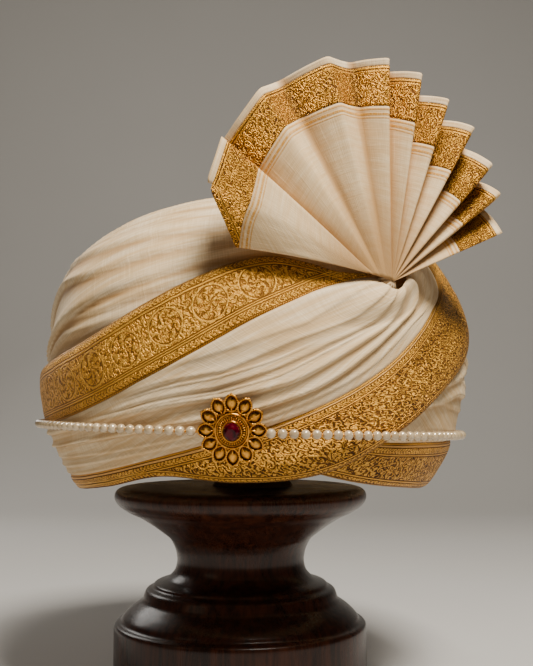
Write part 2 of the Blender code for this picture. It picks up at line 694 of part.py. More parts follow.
def make_turned(name, group, material, profile, steps):
    """Turn a profile about the upright axis."""
    mesh = bpy.data.meshes.new(name)
    points = [(radius, 0.0, height) for radius, height in profile]
    edges = [(index, index + 1) for index in range(len(points) - 1)]
    mesh.from_pydata(points, edges, [])
    item = bpy.data.objects.new(name, mesh)
    group.objects.link(item)
    mesh.materials.append(material)
    turning = item.modifiers.new("Turned", "SCREW")
    turning.axis = "Z"
    turning.angle = 2.0 * math.pi
    turning.steps = steps
    turning.render_steps = steps
    turning.use_merge_vertices = True
    turning.merge_threshold = 0.00005
    turning.use_smooth_shade = True
    return item


def make_stand(group, wood, plain_wood):
    """Turned pedestal, and the plain post that carries the dome from inside."""
    pedestal = [(radius * share, PLATE_TOP * height) for radius, share, height in STAND_PROFILE]
    make_turned("stand_pedestal", group, wood, pedestal, STAND_STEPS)
    top = CENTER.z + HOLLOW_RISE - POST_CLEARANCE
    foot = PLATE_TOP + GAP
    profile = [(radius * share, top - POST_CAP_RADIUS * drop) for radius, share, drop in POST_CAP_PROFILE]
    profile += [(POST_RADIUS, foot + 0.5 * POST_RADIUS), (POST_FOOT_RADIUS, foot), (0.0, foot)]
    post = make_turned("stand_post", group, plain_wood, profile, POST_STEPS)
    post.location = (CENTER.x, CENTER.y, 0.0)


def build():
    """Build every piece."""
    clear_scene()
    group = make_collection("turban_on_stand")
    cloth = make_material("raw_silk", (0.78, 0.68, 0.52), 0.75, 0.0)
    zari = make_material("gold_zari", (0.62, 0.40, 0.13), 0.45, 0.35)
    wood = make_material("dark_walnut", (0.045, 0.016, 0.009), 0.22, 0.0)
    plain_wood = make_material("plain_wood", (0.20, 0.11, 0.05), 0.6, 0.0)
    pearl = make_material("pearl", (0.86, 0.81, 0.72), 0.2, 0.0)
    gold = make_material("antique_gold", (0.72, 0.43, 0.12), 0.3, 1.0)
    ruby = make_material("ruby", (0.22, 0.006, 0.014), 0.05, 0.0)
    make_crown(group, cloth)
    make_wrap(group, cloth, zari)
    make_crest(group, cloth, zari)
    make_knot(group, cloth)
    make_string(group, pearl)
    make_brooch(group, gold)
    make_stone(group, ruby)
    make_stand(group, wood, plain_wood)


build()
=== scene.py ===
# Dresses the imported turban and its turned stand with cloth, gold weave, pearls, brooch and wood.
# Metres, +Z up, the front faces -Y; shapes repeat the CAD's named sizes and tables.

import math

import bmesh
import bpy
import numpy as np
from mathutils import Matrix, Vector


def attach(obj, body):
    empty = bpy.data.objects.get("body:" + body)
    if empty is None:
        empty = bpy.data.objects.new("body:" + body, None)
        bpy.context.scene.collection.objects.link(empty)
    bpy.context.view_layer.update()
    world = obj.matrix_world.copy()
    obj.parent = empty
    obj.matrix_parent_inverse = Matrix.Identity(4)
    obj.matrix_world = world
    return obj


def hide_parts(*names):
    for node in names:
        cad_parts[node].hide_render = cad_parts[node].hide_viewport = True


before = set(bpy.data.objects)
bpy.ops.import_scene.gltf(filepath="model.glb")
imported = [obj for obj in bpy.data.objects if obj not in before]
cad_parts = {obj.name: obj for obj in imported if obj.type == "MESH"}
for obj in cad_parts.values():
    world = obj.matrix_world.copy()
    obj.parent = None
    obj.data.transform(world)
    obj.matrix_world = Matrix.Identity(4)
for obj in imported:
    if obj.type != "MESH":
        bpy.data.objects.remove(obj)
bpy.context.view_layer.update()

MM = 0.001

# The wound turban: a rounded dome about one centre over the stand's plate
PLATE_TOP = 0.129
CENTER = np.array([0.0082, 0.0, PLATE_TOP + 0.084])
HALF_WIDTH = 0.1451
HALF_DEPTH = 0.155
DOME_RISE = 0.112
DOME_DROP = 0.132
ROUNDNESS = 2.2
CROWN_SEAT = -0.0050
CROWN_LOW = -0.0072
CROWN_RISE = (7.0, 31.0)
CROWN_DIP = 1.1
CROWN_LEFT_FOLDS = 0.32
CROWN_TOP = 89.6
CROWN_SEGMENTS = 360
CROWN_ROWS_OUTSIDE = 130
CROWN_ROWS_INSIDE = 16
HOLLOW_HALF_WIDTH = 0.078
HOLLOW_HALF_DEPTH = 0.097
HOLLOW_RISE = 0.070
HOLLOW_BULGE = 0.6
RIM_ROLL_HEIGHT = 0.016
RIM_ROLL = ((0.03, -0.03), (0.10, -0.05), (0.22, 0.0), (0.45, 0.10), (0.75, 0.38), (1.0, 1.0))

# The long wrap: where its underside sits, and where its start rises over its end
WRAP_SEAT = -0.0040
BORDER_THICKNESS = 0.0028
OVERLAP_RISE = 0.0046
RAISED_ACROSS = (2.25, 2.7)
RAISED_START = (1.5, 3.5)
RAISED_END = (9.4, 11.4)
WRAP_START = 0.7
GATHER_RISE = 0.0075
GATHER_ALONG = (0.9, 3.4)
GATHER_ACROSS = (0.9, 1.25)
PANEL_GRID = (280, 144)
PANEL_CLOTH = 0.0007
BORDER_GRID = (300, 26)
BORDER_CLOTH = 0.0010

# Fine puckers of each cloth: height in mm, waves along, waves across, seed
CROWN_PUCKERS = ((0.45, 4.0, 0.16, 32), (0.14, 7.0, 0.6, 33))
PANEL_PUCKERS = ((0.50, 0.55, 6.0, 11), (0.10, 0.9, 20.0, 12), (0.03, 2.1, 48.0, 13))
BORDER_PUCKERS = ((0.30, 1.3, 3.0, 21), (0.16, 4.0, 7.0, 22))
CREST_PUCKERS = ((0.35, 70.0, 40.0, 41), (0.16, 220.0, 70.0, 42))

# The crest, the pearl string and the brooch
FOOT_DIRECTION = (33.2, 15.6)
FOOT_LEFT = (26.6, 17.2)
FOOT_LIFT = 0.0058
FOOT_CLEAR = 0.0078
CREST_LENGTH = 0.135
CREST_BOW = 0.008
CREST_DEEPEN = 0.004
CREST_SPREAD = 9.0
CREST_BELLY = 0.07
CREST_START = 0.12
SELVEDGE_WIDTH = 0.0045
KNOT_RADIUS = 0.0074
KNOT_SQUASH = 0.72
KNOT_SPREAD = 0.80
KNOT_PLEATS = 11.0
KNOT_GRID = (40, 120)
BEAD_DIAMETER = 0.0056
STRING_SEAT = 0.0042
STRING_LEVEL = 0.336
STRING_TILT = -0.027
STRING_POINTS = 2000
STRING_SEARCH = (-60.0, 40.0)
SEARCH_STEPS = 40
BEAD_PITCH = 0.0063
BEAD_GRID = (18, 12)
SPACER_RADII = (0.0010, 0.0010, 0.00045)
BROOCH_CLEARANCE = 0.0004
BROOCH_DIRECTION = (-3.2, -15.05)
BROOCH_HALF_WIDTH = 0.01925
BROOCH_HALF_HEIGHT = 0.0206
PETALS = 12
PETAL_STEPS = 40
TEETH = 34
TEETH_PLACE = 0.343
TOOTH_HEIGHT = 3.35
TOOTH_RADII = (0.98, 0.40, 0.55)
RING_STEPS = 144
RING_GRAINS = 48
STONE_HALF_WIDTH = 0.0048
STONE_HALF_HEIGHT = 0.0054
STONE_SEAT = 0.0037
STONE_HEIGHT = 0.0050
STONE_FACETS = 16

# Points across one pleat of the crest, and softening passes over its flap and over every fold
PLEAT_STEPS = 12
FLAP_PASSES = 8
FOLD_PASSES = 2

# Strips of the crest: rows of points, thickness
CREST_STRIPS = {"field": (44, 0.0006), "band": (16, 0.0009), "edge": (5, 0.0006)}

# Tiers of the stone: share of its half sizes, share of its height, turn in facets
STONE_TIERS = ((0.82, 0.0, 0.0), (1.0, 0.30, 0.5), (0.90, 0.58, 0.0), (0.74, 0.82, 0.5), (0.54, 1.0, 0.0))

# Brooch plates: share of its half sizes, levels of share and height in mm, painted shade for depth in relief
BROOCH_PLATES = (
    (0.66, ((0.0, 0.05), (1.0, 0.05), (1.0, 0.7), (0.92, 0.9), (0.0, 0.9)), 1.0),
    (0.475, ((1.0, 0.7), (1.0, 2.9), (0.86, 2.8), (0.0, 2.8)), 1.0),
    (0.295, ((1.0, 2.5), (1.0, 3.7), (0.92, 4.2), (0.80, 4.0), (0.0, 3.9)), 0.5),
)

# Rings of the brooch: share of its half sizes, height and wire radius in mm, swell of the grains
BROOCH_RINGS = ((0.470, 3.1, 0.52, 0.0), (0.415, 3.0, 0.28, 0.3), (0.272, 4.3, 0.40, 0.0))

# Domed leaf of one petal: growth, height in mm, painted shade for depth in the relief
PETAL_LEVELS = (
    (0.95, 0.9, 1.0), (0.84, 1.0, 0.90), (0.70, 1.5, 0.62),
    (0.52, 1.95, 0.45), (0.30, 2.25, 0.15), (0.12, 2.4, 0.0),
)

# Wrap rows, degrees: azimuth and elevation of each line across the wrap
# upper border top, panel top, panel middle, panel bottom, lower border bottom
WRAP_ROWS = (
    ((34.0, 18.6), (33.5, 17.6), (35.5, 16.3), (37.0, 19.0), (38.5, 21.5)),
    ((27.5, 18.2), (28.0, 17.3), (34.3, 12.9), (45.0, 23.8), (46.0, 29.0)),
    ((20.5, 18.2), (21.5, 15.8), (31.6, 9.7), (57.0, 25.8), (60.0, 35.0)),
    ((13.0, 20.4), (15.5, 13.8), (28.0, 6.5), (65.0, 22.0), (80.0, 32.0)),
    ((4.5, 21.8), (8.1, 10.4), (24.0, 4.0), (60.5, 17.2), (89.0, 21.0)),
    ((-3.7, 20.0), (1.2, 7.1), (18.2, 1.1), (51.5, 11.8), (83.5, 9.5)),
    ((-10.0, 17.3), (-5.0, 3.7), (11.7, -1.9), (42.8, 5.4), (67.0, 1.0)),
    ((-16.4, 14.3), (-10.8, 0.5), (4.7, -4.8), (32.1, -2.5), (51.0, -7.2)),
    ((-22.5, 11.3), (-16.5, -2.4), (-2.8, -7.4), (20.0, -9.3), (37.0, -15.8)),
    ((-28.5, 8.4), (-22.5, -5.2), (-12.3, -10.3), (5.0, -15.4), (18.5, -25.2)),
    ((-35.0, 5.5), (-29.5, -8.2), (-22.5, -13.8), (-10.0, -19.8), (-3.0, -27.7)),
    ((-42.5, 2.8), (-37.5, -11.0), (-33.0, -17.4), (-25.5, -23.9), (-22.0, -27.3)),
    ((-51.0, 0.8), (-47.0, -13.4), (-45.5, -20.5), (-43.2, -27.7), (-42.5, -31.6)),
    ((-62.0, -1.2), (-60.0, -15.5), (-60.6, -22.8), (-61.0, -30.2), (-60.5, -34.0)),
    ((-79.0, -2.8), (-78.0, -17.0), (-79.0, -24.0), (-80.0, -31.2), (-80.0, -35.2)),
    ((-100.0, -3.6), (-100.0, -18.0), (-101.0, -24.2), (-102.0, -30.0), (-102.0, -35.2)),
    ((-125.0, -3.0), (-125.0, -17.5), (-125.5, -23.0), (-126.0, -27.5), (-126.0, -35.0)),
    ((-152.0, -1.0), (-152.0, -15.5), (-152.0, -20.6), (-152.0, -25.0), (-152.0, -34.0)),
    ((-180.0, 2.4), (-180.0, -12.0), (-180.0, -17.8), (-180.0, -23.0), (-180.0, -33.0)),
    ((-208.0, 6.5), (-208.0, -8.0), (-208.0, -15.0), (-208.0, -21.8), (-208.0, -33.4)),
    ((-234.0, 11.0), (-234.0, -3.5), (-235.0, -12.4), (-236.0, -21.2), (-236.0, -34.2)),
    ((-254.0, 16.0), (-256.0, 2.0), (-259.0, -9.5), (-262.0, -21.0), (-262.0, -35.0)),
    ((-266.0, 20.0), (-270.0, 6.5), (-278.5, -7.6), (-286.0, -21.0), (-284.0, -35.0)),
    ((-271.5, 22.5), (-280.0, 9.8), (-296.0, -6.0), (-310.0, -20.6), (-312.0, -32.5)),
    ((-274.0, 24.0), (-286.0, 12.0), (-309.0, -4.0), (-333.0, -19.4), (-343.0, -26.6)),
)
LAST_ROW = len(WRAP_ROWS) - 1.0

# Upper edge of the wrap round the dome, above which the dome stands free: azimuth, elevation
WRAP_EDGE = (
    (-180.0, 2.4), (-152.0, -1.0), (-125.0, -3.0), (-100.0, -3.6), (-79.0, -2.8), (-62.0, -1.2),
    (-51.0, 0.8), (-35.0, 5.5), (-22.5, 11.3), (-10.0, 17.3), (4.5, 21.8), (20.5, 20.0),
    (34.0, 24.0), (46.0, 31.0), (60.0, 37.0), (80.0, 34.0), (92.0, 26.0), (106.0, 17.5),
    (126.0, 11.5), (152.0, 7.0), (180.0, 2.4),
)

# Rim of the dome's outside: azimuth, elevation
RIM_ROWS = (
    (-180.0, -32.4), (-152.0, -33.4), (-126.0, -34.4), (-102.0, -34.6), (-80.0, -34.6),
    (-60.0, -33.4), (-42.0, -31.0), (-22.0, -26.8), (-3.0, -27.0), (18.0, -25.4),
    (30.0, -28.6), (48.0, -31.9), (76.0, -34.4), (98.0, -34.4), (126.0, -33.6),
    (152.0, -32.8), (180.0, -32.4),
)

# The dome's two gathering points, and its folds: angle up from the front at the right,
# angle added at the left, height in mm, width in degrees
CROWN_POLES = ((-110.0, -8.0), (90.0, 20.0))
CROWN_RIDGES = (
    (5.2, 4.0, 2.0, 2.6), (9.4, 3.6, 1.9, 3.0), (14.4, 1.0, 3.2, 4.6), (18.8, 9.0, 2.6, 4.0),
    (23.5, 15.0, 2.4, 4.8), (29.0, 17.0, 1.6, 3.4), (34.5, 12.0, 2.4, 5.6), (43.0, 16.0, 1.9, 5.2),
    (53.0, 14.0, 2.5, 7.4), (66.0, 10.0, 2.1, 7.0), (80.0, 5.0, 2.5, 8.4), (95.0, 0.0, 2.2, 8.0),
    (110.0, -4.0, 2.6, 8.6), (124.0, -7.0, 2.2, 7.4), (137.0, -9.0, 2.5, 6.8), (149.0, -10.0, 2.1, 5.6),
    (159.0, -9.0, 2.3, 4.8), (168.0, -6.0, 1.9, 4.0),
)

# Folds of the long wrap: height in mm, widths above and below as shares of the panel, then the
# row and place across of their points
PANEL_RIDGES = (
    (0.9, 0.070, 0.016, ((0.0, 1.06), (2.4, 1.12), (4.0, 1.17), (6.0, 1.12), (8.4, 1.03))),
    (1.1, 0.080, 0.020, ((0.0, 1.22), (2.6, 1.30), (4.9, 1.25), (7.3, 1.27), (9.2, 1.12), (10.6, 1.04))),
    (1.0, 0.075, 0.014, ((0.0, 1.40), (2.6, 1.46), (4.6, 1.42), (6.4, 1.44), (8.2, 1.42), (9.6, 1.28),
                         (11.8, 1.09))),
    (2.5, 0.080, 0.024, ((0.0, 1.58), (2.6, 1.60), (4.7, 1.60), (7.3, 1.635), (8.4, 1.57), (9.5, 1.43),
                         (11.5, 1.22), (14.0, 1.13), (18.0, 1.16), (22.0, 1.10), (24.0, 1.06))),
    (2.3, 0.050, 0.010, ((0.0, 1.76), (2.3, 1.75), (4.0, 1.70), (5.7, 1.76), (7.7, 1.80), (8.9, 1.77),
                         (10.2, 1.62), (12.0, 1.44), (15.0, 1.34), (19.0, 1.37), (22.0, 1.29), (24.0, 1.24))),
    (0.9, 0.040, 0.012, ((0.0, 1.90), (2.6, 1.86), (5.0, 1.86), (6.8, 1.90), (8.8, 1.90), (10.2, 1.82),
                         (12.2, 1.66), (15.0, 1.55), (18.0, 1.53), (21.0, 1.50), (24.0, 1.45))),
    (1.3, 0.055, 0.014, ((8.0, 1.99), (10.0, 1.92), (11.4, 1.83), (13.8, 1.76), (17.0, 1.73), (20.0, 1.72),
                         (24.0, 1.66))),
    (1.1, 0.050, 0.014, ((10.5, 1.98), (14.0, 1.91), (18.0, 1.90), (21.0, 1.92), (24.0, 1.86))),
    (0.6, 0.007, 0.006, ((3.4, 1.52), (5.4, 1.50), (7.0, 1.53), (8.4, 1.49), (9.8, 1.35), (11.4, 1.20))),
    (0.6, 0.007, 0.006, ((4.4, 1.36), (6.2, 1.35), (7.8, 1.32), (9.4, 1.20), (10.8, 1.10))),
    (0.5, 0.006, 0.005, ((6.8, 1.70), (8.2, 1.68), (9.6, 1.58), (11.2, 1.42), (12.6, 1.34))),
    (0.5, 0.006, 0.005, ((9.0, 1.68), (10.6, 1.54), (12.4, 1.46), (14.0, 1.44))),
    (1.5, 0.090, 0.016, ((20.0, 1.12), (22.6, 1.18), (24.0, 1.42), (26.0, 1.60))),
    (2.2, 0.100, 0.018, ((20.0, 1.28), (22.6, 1.36), (24.0, 1.63), (26.0, 1.80))),
    (2.2, 0.100, 0.018, ((20.0, 1.52), (22.8, 1.57), (24.0, 1.77), (26.0, 1.90))),
)

# Crest folds: angle right of upright, shares of the crest's length for its length and its
# set back, share of the fold inside the gold band, share of the bow forward
CREST_FOLDS = (
    (-79.6, 0.674, -0.178, 0.975, 1.00),
    (-64.4, 0.876, -0.222, 0.740, 1.00),
    (-51.2, 0.926, -0.178, 0.760, 0.75),
    (-52.5, 0.936, -0.089, 0.770, 0.75),
    (-35.2, 0.981, -0.119, 0.790, 0.50),
    (-28.6, 1.000, -0.037, 0.800, 0.50),
    (-16.2, 0.997, -0.067, 0.790, 0.25),
    (-9.8, 0.990, 0.015, 0.790, 0.25),
    (-0.4, 0.966, -0.022, 0.785, 0.0),
    (0.1, 0.953, 0.067, 0.780, 0.0),
    (8.9, 0.928, 0.030, 0.760, 0.0),
    (9.3, 0.873, 0.119, 0.745, 0.0),
    (18.3, 0.860, 0.081, 0.735, 0.0),
    (18.4, 0.809, 0.178, 0.710, 0.0),
    (29.0, 0.812, 0.148, 0.710, 0.0),
    (29.2, 0.747, 0.237, 0.680, 0.0),
    (40.9, 0.742, 0.215, 0.670, 0.0),
    (40.4, 0.673, 0.296, 0.645, 0.0),
    (50.6, 0.690, 0.274, 0.640, 0.0),
    (50.3, 0.617, 0.348, 0.610, 0.0),
    (64.1, 0.604, 0.311, 0.600, 0.0),
)

# Pearl string: azimuth, share of the overlap's rise that it rides over
STRING_RIDES = (
    (-180.0, 0.0), (-30.0, 0.0), (-4.0, 0.04), (4.0, 0.18), (12.0, 0.66),
    (40.0, 0.70), (58.0, 0.48), (74.0, 0.10), (90.0, 0.0), (180.0, 0.0),
)

# Stand profile from the plate down: radius it follows, share of it, share of the plate's height
PLATE_RADIUS = 0.0867
NECK_RADIUS = 0.0433
DRUM_RADIUS = 0.0860
STAND_PROFILE = (
    (PLATE_RADIUS, 0.0, 1.0), (PLATE_RADIUS, 0.923, 1.0), (PLATE_RADIUS, 0.976, 0.989),
    (PLATE_RADIUS, 1.0, 0.964), (PLATE_RADIUS, 0.994, 0.929), (PLATE_RADIUS, 0.955, 0.899),
    (PLATE_RADIUS, 0.917, 0.884), (PLATE_RADIUS, 0.890, 0.871), (PLATE_RADIUS, 0.796, 0.843),
    (PLATE_RADIUS, 0.692, 0.798), (NECK_RADIUS, 1.219, 0.757), (NECK_RADIUS, 1.127, 0.733),
    (NECK_RADIUS, 1.085, 0.712), (NECK_RADIUS, 1.025, 0.668), (NECK_RADIUS, 1.0, 0.612),
    (NECK_RADIUS, 1.035, 0.560), (NECK_RADIUS, 1.155, 0.518), (DRUM_RADIUS, 0.688, 0.496),
    (DRUM_RADIUS, 0.693, 0.479), (DRUM_RADIUS, 0.747, 0.467), (DRUM_RADIUS, 0.763, 0.443),
    (DRUM_RADIUS, 0.777, 0.411), (DRUM_RADIUS, 0.866, 0.372), (DRUM_RADIUS, 0.928, 0.332),
    (DRUM_RADIUS, 0.944, 0.307), (DRUM_RADIUS, 0.988, 0.298), (DRUM_RADIUS, 1.0, 0.281),
    (DRUM_RADIUS, 1.0, 0.023), (DRUM_RADIUS, 0.977, 0.0), (DRUM_RADIUS, 0.0, 0.0),
)

# Rounding of the stand's mouldings, and how finely it is turned
MOULDING = 0.0028
MOULDING_SHARE = 0.46
MOULDING_STEPS = (0.0, 0.25, 0.5, 0.75, 1.0)
AXIS_GAP = 0.0005
STAND_SEGMENTS = 128

# The studio: floor and the wall that it curves up into
FLOOR_FRONT = -1.6
FLOOR_BEND = 1.1
FLOOR_HALF_WIDTH = 4.0
BEND_RADIUS = 0.7
BEND_STEPS = 12
WALL_TOP = 3.0

# Lamps: name, place, size, power in watts, colour
LAMPS = (
    ("key", (0.30, -0.60, 1.30), 0.38, 35.0, (1.0, 0.945, 0.85)),
    ("fill", (-1.15, -0.85, 0.75), 0.6, 0.7, (1.0, 0.76, 0.54)),
    ("back", (-0.9, 0.9, 0.9), 0.6, 5.0, (1.0, 0.97, 0.92)),
)
LAMP_TARGET = (0.0, 0.0, 0.24)
WORLD_COLOUR = (1.0, 0.88, 0.74, 1.0)
WORLD_STRENGTH = 0.03

# The camera in the photograph's place: metres, and degrees up from level
CAMERA_PLACE = (0.0178, -0.699, 0.180)
CAMERA_TILT = 4.517
CAMERA_LENS = 54.054
CAMERA_SENSOR = 36.0
CAMERA_CLIP = 0.01

# Raw silk colours: lit, lit crest with painted shade, shaded, between threads, painted shade in folds, tint
SILK_LIGHT = (0.880, 0.710, 0.470)
SILK_CREST_SHADED = (0.820, 0.625, 0.375)
SILK_DEEP = (0.740, 0.510, 0.265)
SILK_THREAD = (0.500, 0.330, 0.155)
SILK_FOLD_SHADE = (0.400, 0.205, 0.060)
SILK_SHEEN = (1.0, 0.88, 0.66, 1.0)

# Gold lines across the crest's field: place and width in mm, soft edge, strength
CREST_LINES = ((1.9, 0.9, 0.3, 0.9), (5.0, 1.2, 0.35, 1.0), (7.2, 0.6, 0.3, 0.8))
LINE_GOLD = (0.56, 0.26, 0.035)

# Colours of the gold weave: deep and lit threads, painted shade in folds, cream cord, dark and pale gaps
ZARI_THREADS = ((0.620, 0.255, 0.022), (1.000, 0.545, 0.085))
# The crest's threads and gaps are darker: a deeper gold, and in part painted shade
CREST_THREADS = ((0.440, 0.172, 0.013), (0.940, 0.480, 0.062))
ZARI_FOLD_SHADE = (0.085, 0.032, 0.005)
ZARI_CREAM = (0.820, 0.450, 0.130)
# The upper border's gaps are paler than the lower's: painted light, as the upper border faces up
UPPER_GAPS = ((0.150, 0.060, 0.009), (0.400, 0.170, 0.022))
LOWER_GAPS = ((0.060, 0.023, 0.004), (0.200, 0.078, 0.011))
CREST_GAPS = ((0.070, 0.025, 0.004), (0.220, 0.080, 0.009))

# Dark and pale colours of the other materials
PEARL_COLOURS = ((0.50, 0.365, 0.205), (0.66, 0.510, 0.315))
GOLD_COLOURS = ((0.56, 0.225, 0.028), (0.90, 0.44, 0.075))
GOLD_RECESS_SHADE = (0.055, 0.018, 0.003)
RUBY_COLOURS = ((0.022, 0.0003, 0.003), (0.100, 0.0006, 0.007))
WALNUT_COLOURS = ((0.012, 0.0036, 0.0018), (0.052, 0.0145, 0.0055))
WALNUT_PORES = (0.008, 0.003, 0.002)
WALNUT_GLOSS = 0.14
WOOD_COLOURS = ((0.018, 0.008, 0.005), (0.045, 0.021, 0.012))
FLOOR_COLOURS = ((0.52, 0.505, 0.485), (0.56, 0.545, 0.525))

# Edgings of the long borders: kind, then start and end in mm in from the upper or the lower edge
UPPER_BANDS = (
    (("rail", 0.2, 0.9), ("leaf", 1.5, 5.4), ("rail", 6.1, 7.2)),
    (("rope", 0.2, 1.2), ("leaf", 1.7, 5.3), ("rail", 5.9, 6.7), ("rail", 7.3, 7.9)),
)
UPPER_FIELD = (8.0, 8.6)
LOWER_BANDS = (
    (("satin", 0.2, 1.4), ("cream", 1.8, 2.7), ("leaf", 3.3, 6.8), ("rail", 7.4, 8.2)),
    (("rope", 0.2, 1.3), ("leaf", 2.1, 4.3), ("rail", 4.9, 5.8)),
)
LOWER_FIELD = (8.9, 6.5)

# Curls of the gold weave: size and stroke in mm
LEAF_CURLS = (2.9, 1.35)
UPPER_CURLS = (5.2, 2.2)
LOWER_CURLS = (5.8, 2.5)
CREST_CURLS = (4.3, 1.75)
MEDALLION_PERIOD = 28.5
MEDALLION_HALF = 10.9


def ease(value, start, end):
    """Rise smoothly from 0 to 1 between two values."""
    share = np.clip((value - start) / (end - start), 0.0, 1.0)
    return share * share * (3.0 - 2.0 * share)


def table(rows, place):
    """Read a two-column table, straight between its rows."""
    return np.interp(place, [row[0] for row in rows], [row[1] for row in rows])


def unit(vectors):
    """Vectors at length 1."""
    return vectors / np.linalg.norm(vectors, axis=-1, keepdims=True)


def direction(azimuth, elevation):
    """Unit direction: azimuth from the front toward +X, elevation up, in degrees."""
    turn = np.radians(azimuth)
    lift = np.radians(elevation)
    return np.stack([np.sin(turn) * np.cos(lift), -np.cos(turn) * np.cos(lift), np.sin(lift)], -1)


def on_dome(heading, lift):
    """Points on the dome in given directions, lifted outward."""
    flat = np.hypot(heading[..., 0] / HALF_WIDTH, heading[..., 1] / HALF_DEPTH)
    tall = np.abs(heading[..., 2]) / np.where(heading[..., 2] > 0.0, DOME_RISE, DOME_DROP)
    reach = (flat ** ROUNDNESS + tall ** ROUNDNESS) ** (-1.0 / ROUNDNESS)
    return CENTER + heading * (reach + lift)[..., None]


def dome_normal(heading):
    """Outward normal of the dome in one direction."""
    side = unit(np.array([-heading[1], heading[0], 0.0]))
    over = np.cross(side, heading)
    here = on_dome(heading, np.float64(0.0))
    first = on_dome(unit(heading + side * MM), np.float64(0.0)) - here
    second = on_dome(unit(heading + over * MM), np.float64(0.0)) - here
    return unit(np.cross(second, first))


def spline(points, place):
    """Smooth curve through a list of points, read at many places."""
    last = len(points) - 1
    index = np.clip(np.floor(place).astype(int), 0, last - 1)
    share = (place - index)[..., None]
    before = points[np.maximum(index - 1, 0)]
    first = points[index]
    second = points[index + 1]
    after = points[np.minimum(index + 2, last)]
    cubic = (3.0 * first - before - 3.0 * second + after) * share ** 3
    square = (2.0 * before - 5.0 * first + 4.0 * second - after) * share ** 2
    return (2.0 * first + (second - before) * share + square + cubic) * 0.5


def ruffle(first, second, seed):
    """Smooth random waves from -1 to 1 over two coordinates."""
    cells = np.random.default_rng(seed).uniform(-1.0, 1.0, (64, 64))
    low_a = np.floor(first).astype(int)
    low_b = np.floor(second).astype(int)
    share_a = ease(first - low_a, 0.0, 1.0)
    share_b = ease(second - low_b, 0.0, 1.0)
    rows = (low_a % 64, (low_a + 1) % 64)
    columns = (low_b % 64, (low_b + 1) % 64)
    near = cells[rows[0], columns[0]] * (1.0 - share_b) + cells[rows[0], columns[1]] * share_b
    far = cells[rows[1], columns[0]] * (1.0 - share_b) + cells[rows[1], columns[1]] * share_b
    return near * (1.0 - share_a) + far * share_a


def puckers(waves, first, second):
    """Sum of smooth random waves from a table of height, waves along, waves across and seed."""
    return sum(tall * ruffle(first * fine, second * close, seed) for tall, fine, close, seed in waves)


def soften(values):
    """Every value but the two ends, averaged with its neighbours."""
    return 0.25 * values[:-2] + 0.5 * values[1:-1] + 0.25 * values[2:]


def ridge(offset, width, steep):
    """Fold that rises slowly on one side of its crest and drops quickly on the other."""
    reach = np.where(offset > 0.0, offset / (width * steep), -offset / width)
    return np.exp(-(np.sqrt(reach ** 2 + 0.04) - 0.2))


def crests(height, window):
    """Share of height over the mean of its row nearby: 0 deep in a fold, 1 on its crest."""
    reach = window // 2
    padded = np.cumsum(np.pad(height, ((0, 0), (reach + 1, reach)), mode="edge"), axis=1)
    mean = (padded[:, window:] - padded[:, :-window]) / window
    return np.clip(0.60 + 0.55 * (height - mean), 0.0, 1.0)


def arc_lengths(points):
    """Distance along a row of points, from its start."""
    steps = np.linalg.norm(np.diff(points, axis=0), axis=-1)
    return np.concatenate([[0.0], np.cumsum(steps)])


class Term:
    """A value in a material that its nodes work out."""

    def __init__(self, paint, socket):
        self.paint = paint
        self.socket = socket

    def __add__(self, other):
        return self.paint.math("ADD", self, other)

    def __sub__(self, other):
        return self.paint.math("SUBTRACT", self, other)

    def __rsub__(self, other):
        return self.paint.math("SUBTRACT", other, self)

    def __mul__(self, other):
        return self.paint.math("MULTIPLY", self, other)

    def __truediv__(self, other):
        return self.paint.math("DIVIDE", self, other)

    __radd__ = __add__
    __rmul__ = __mul__


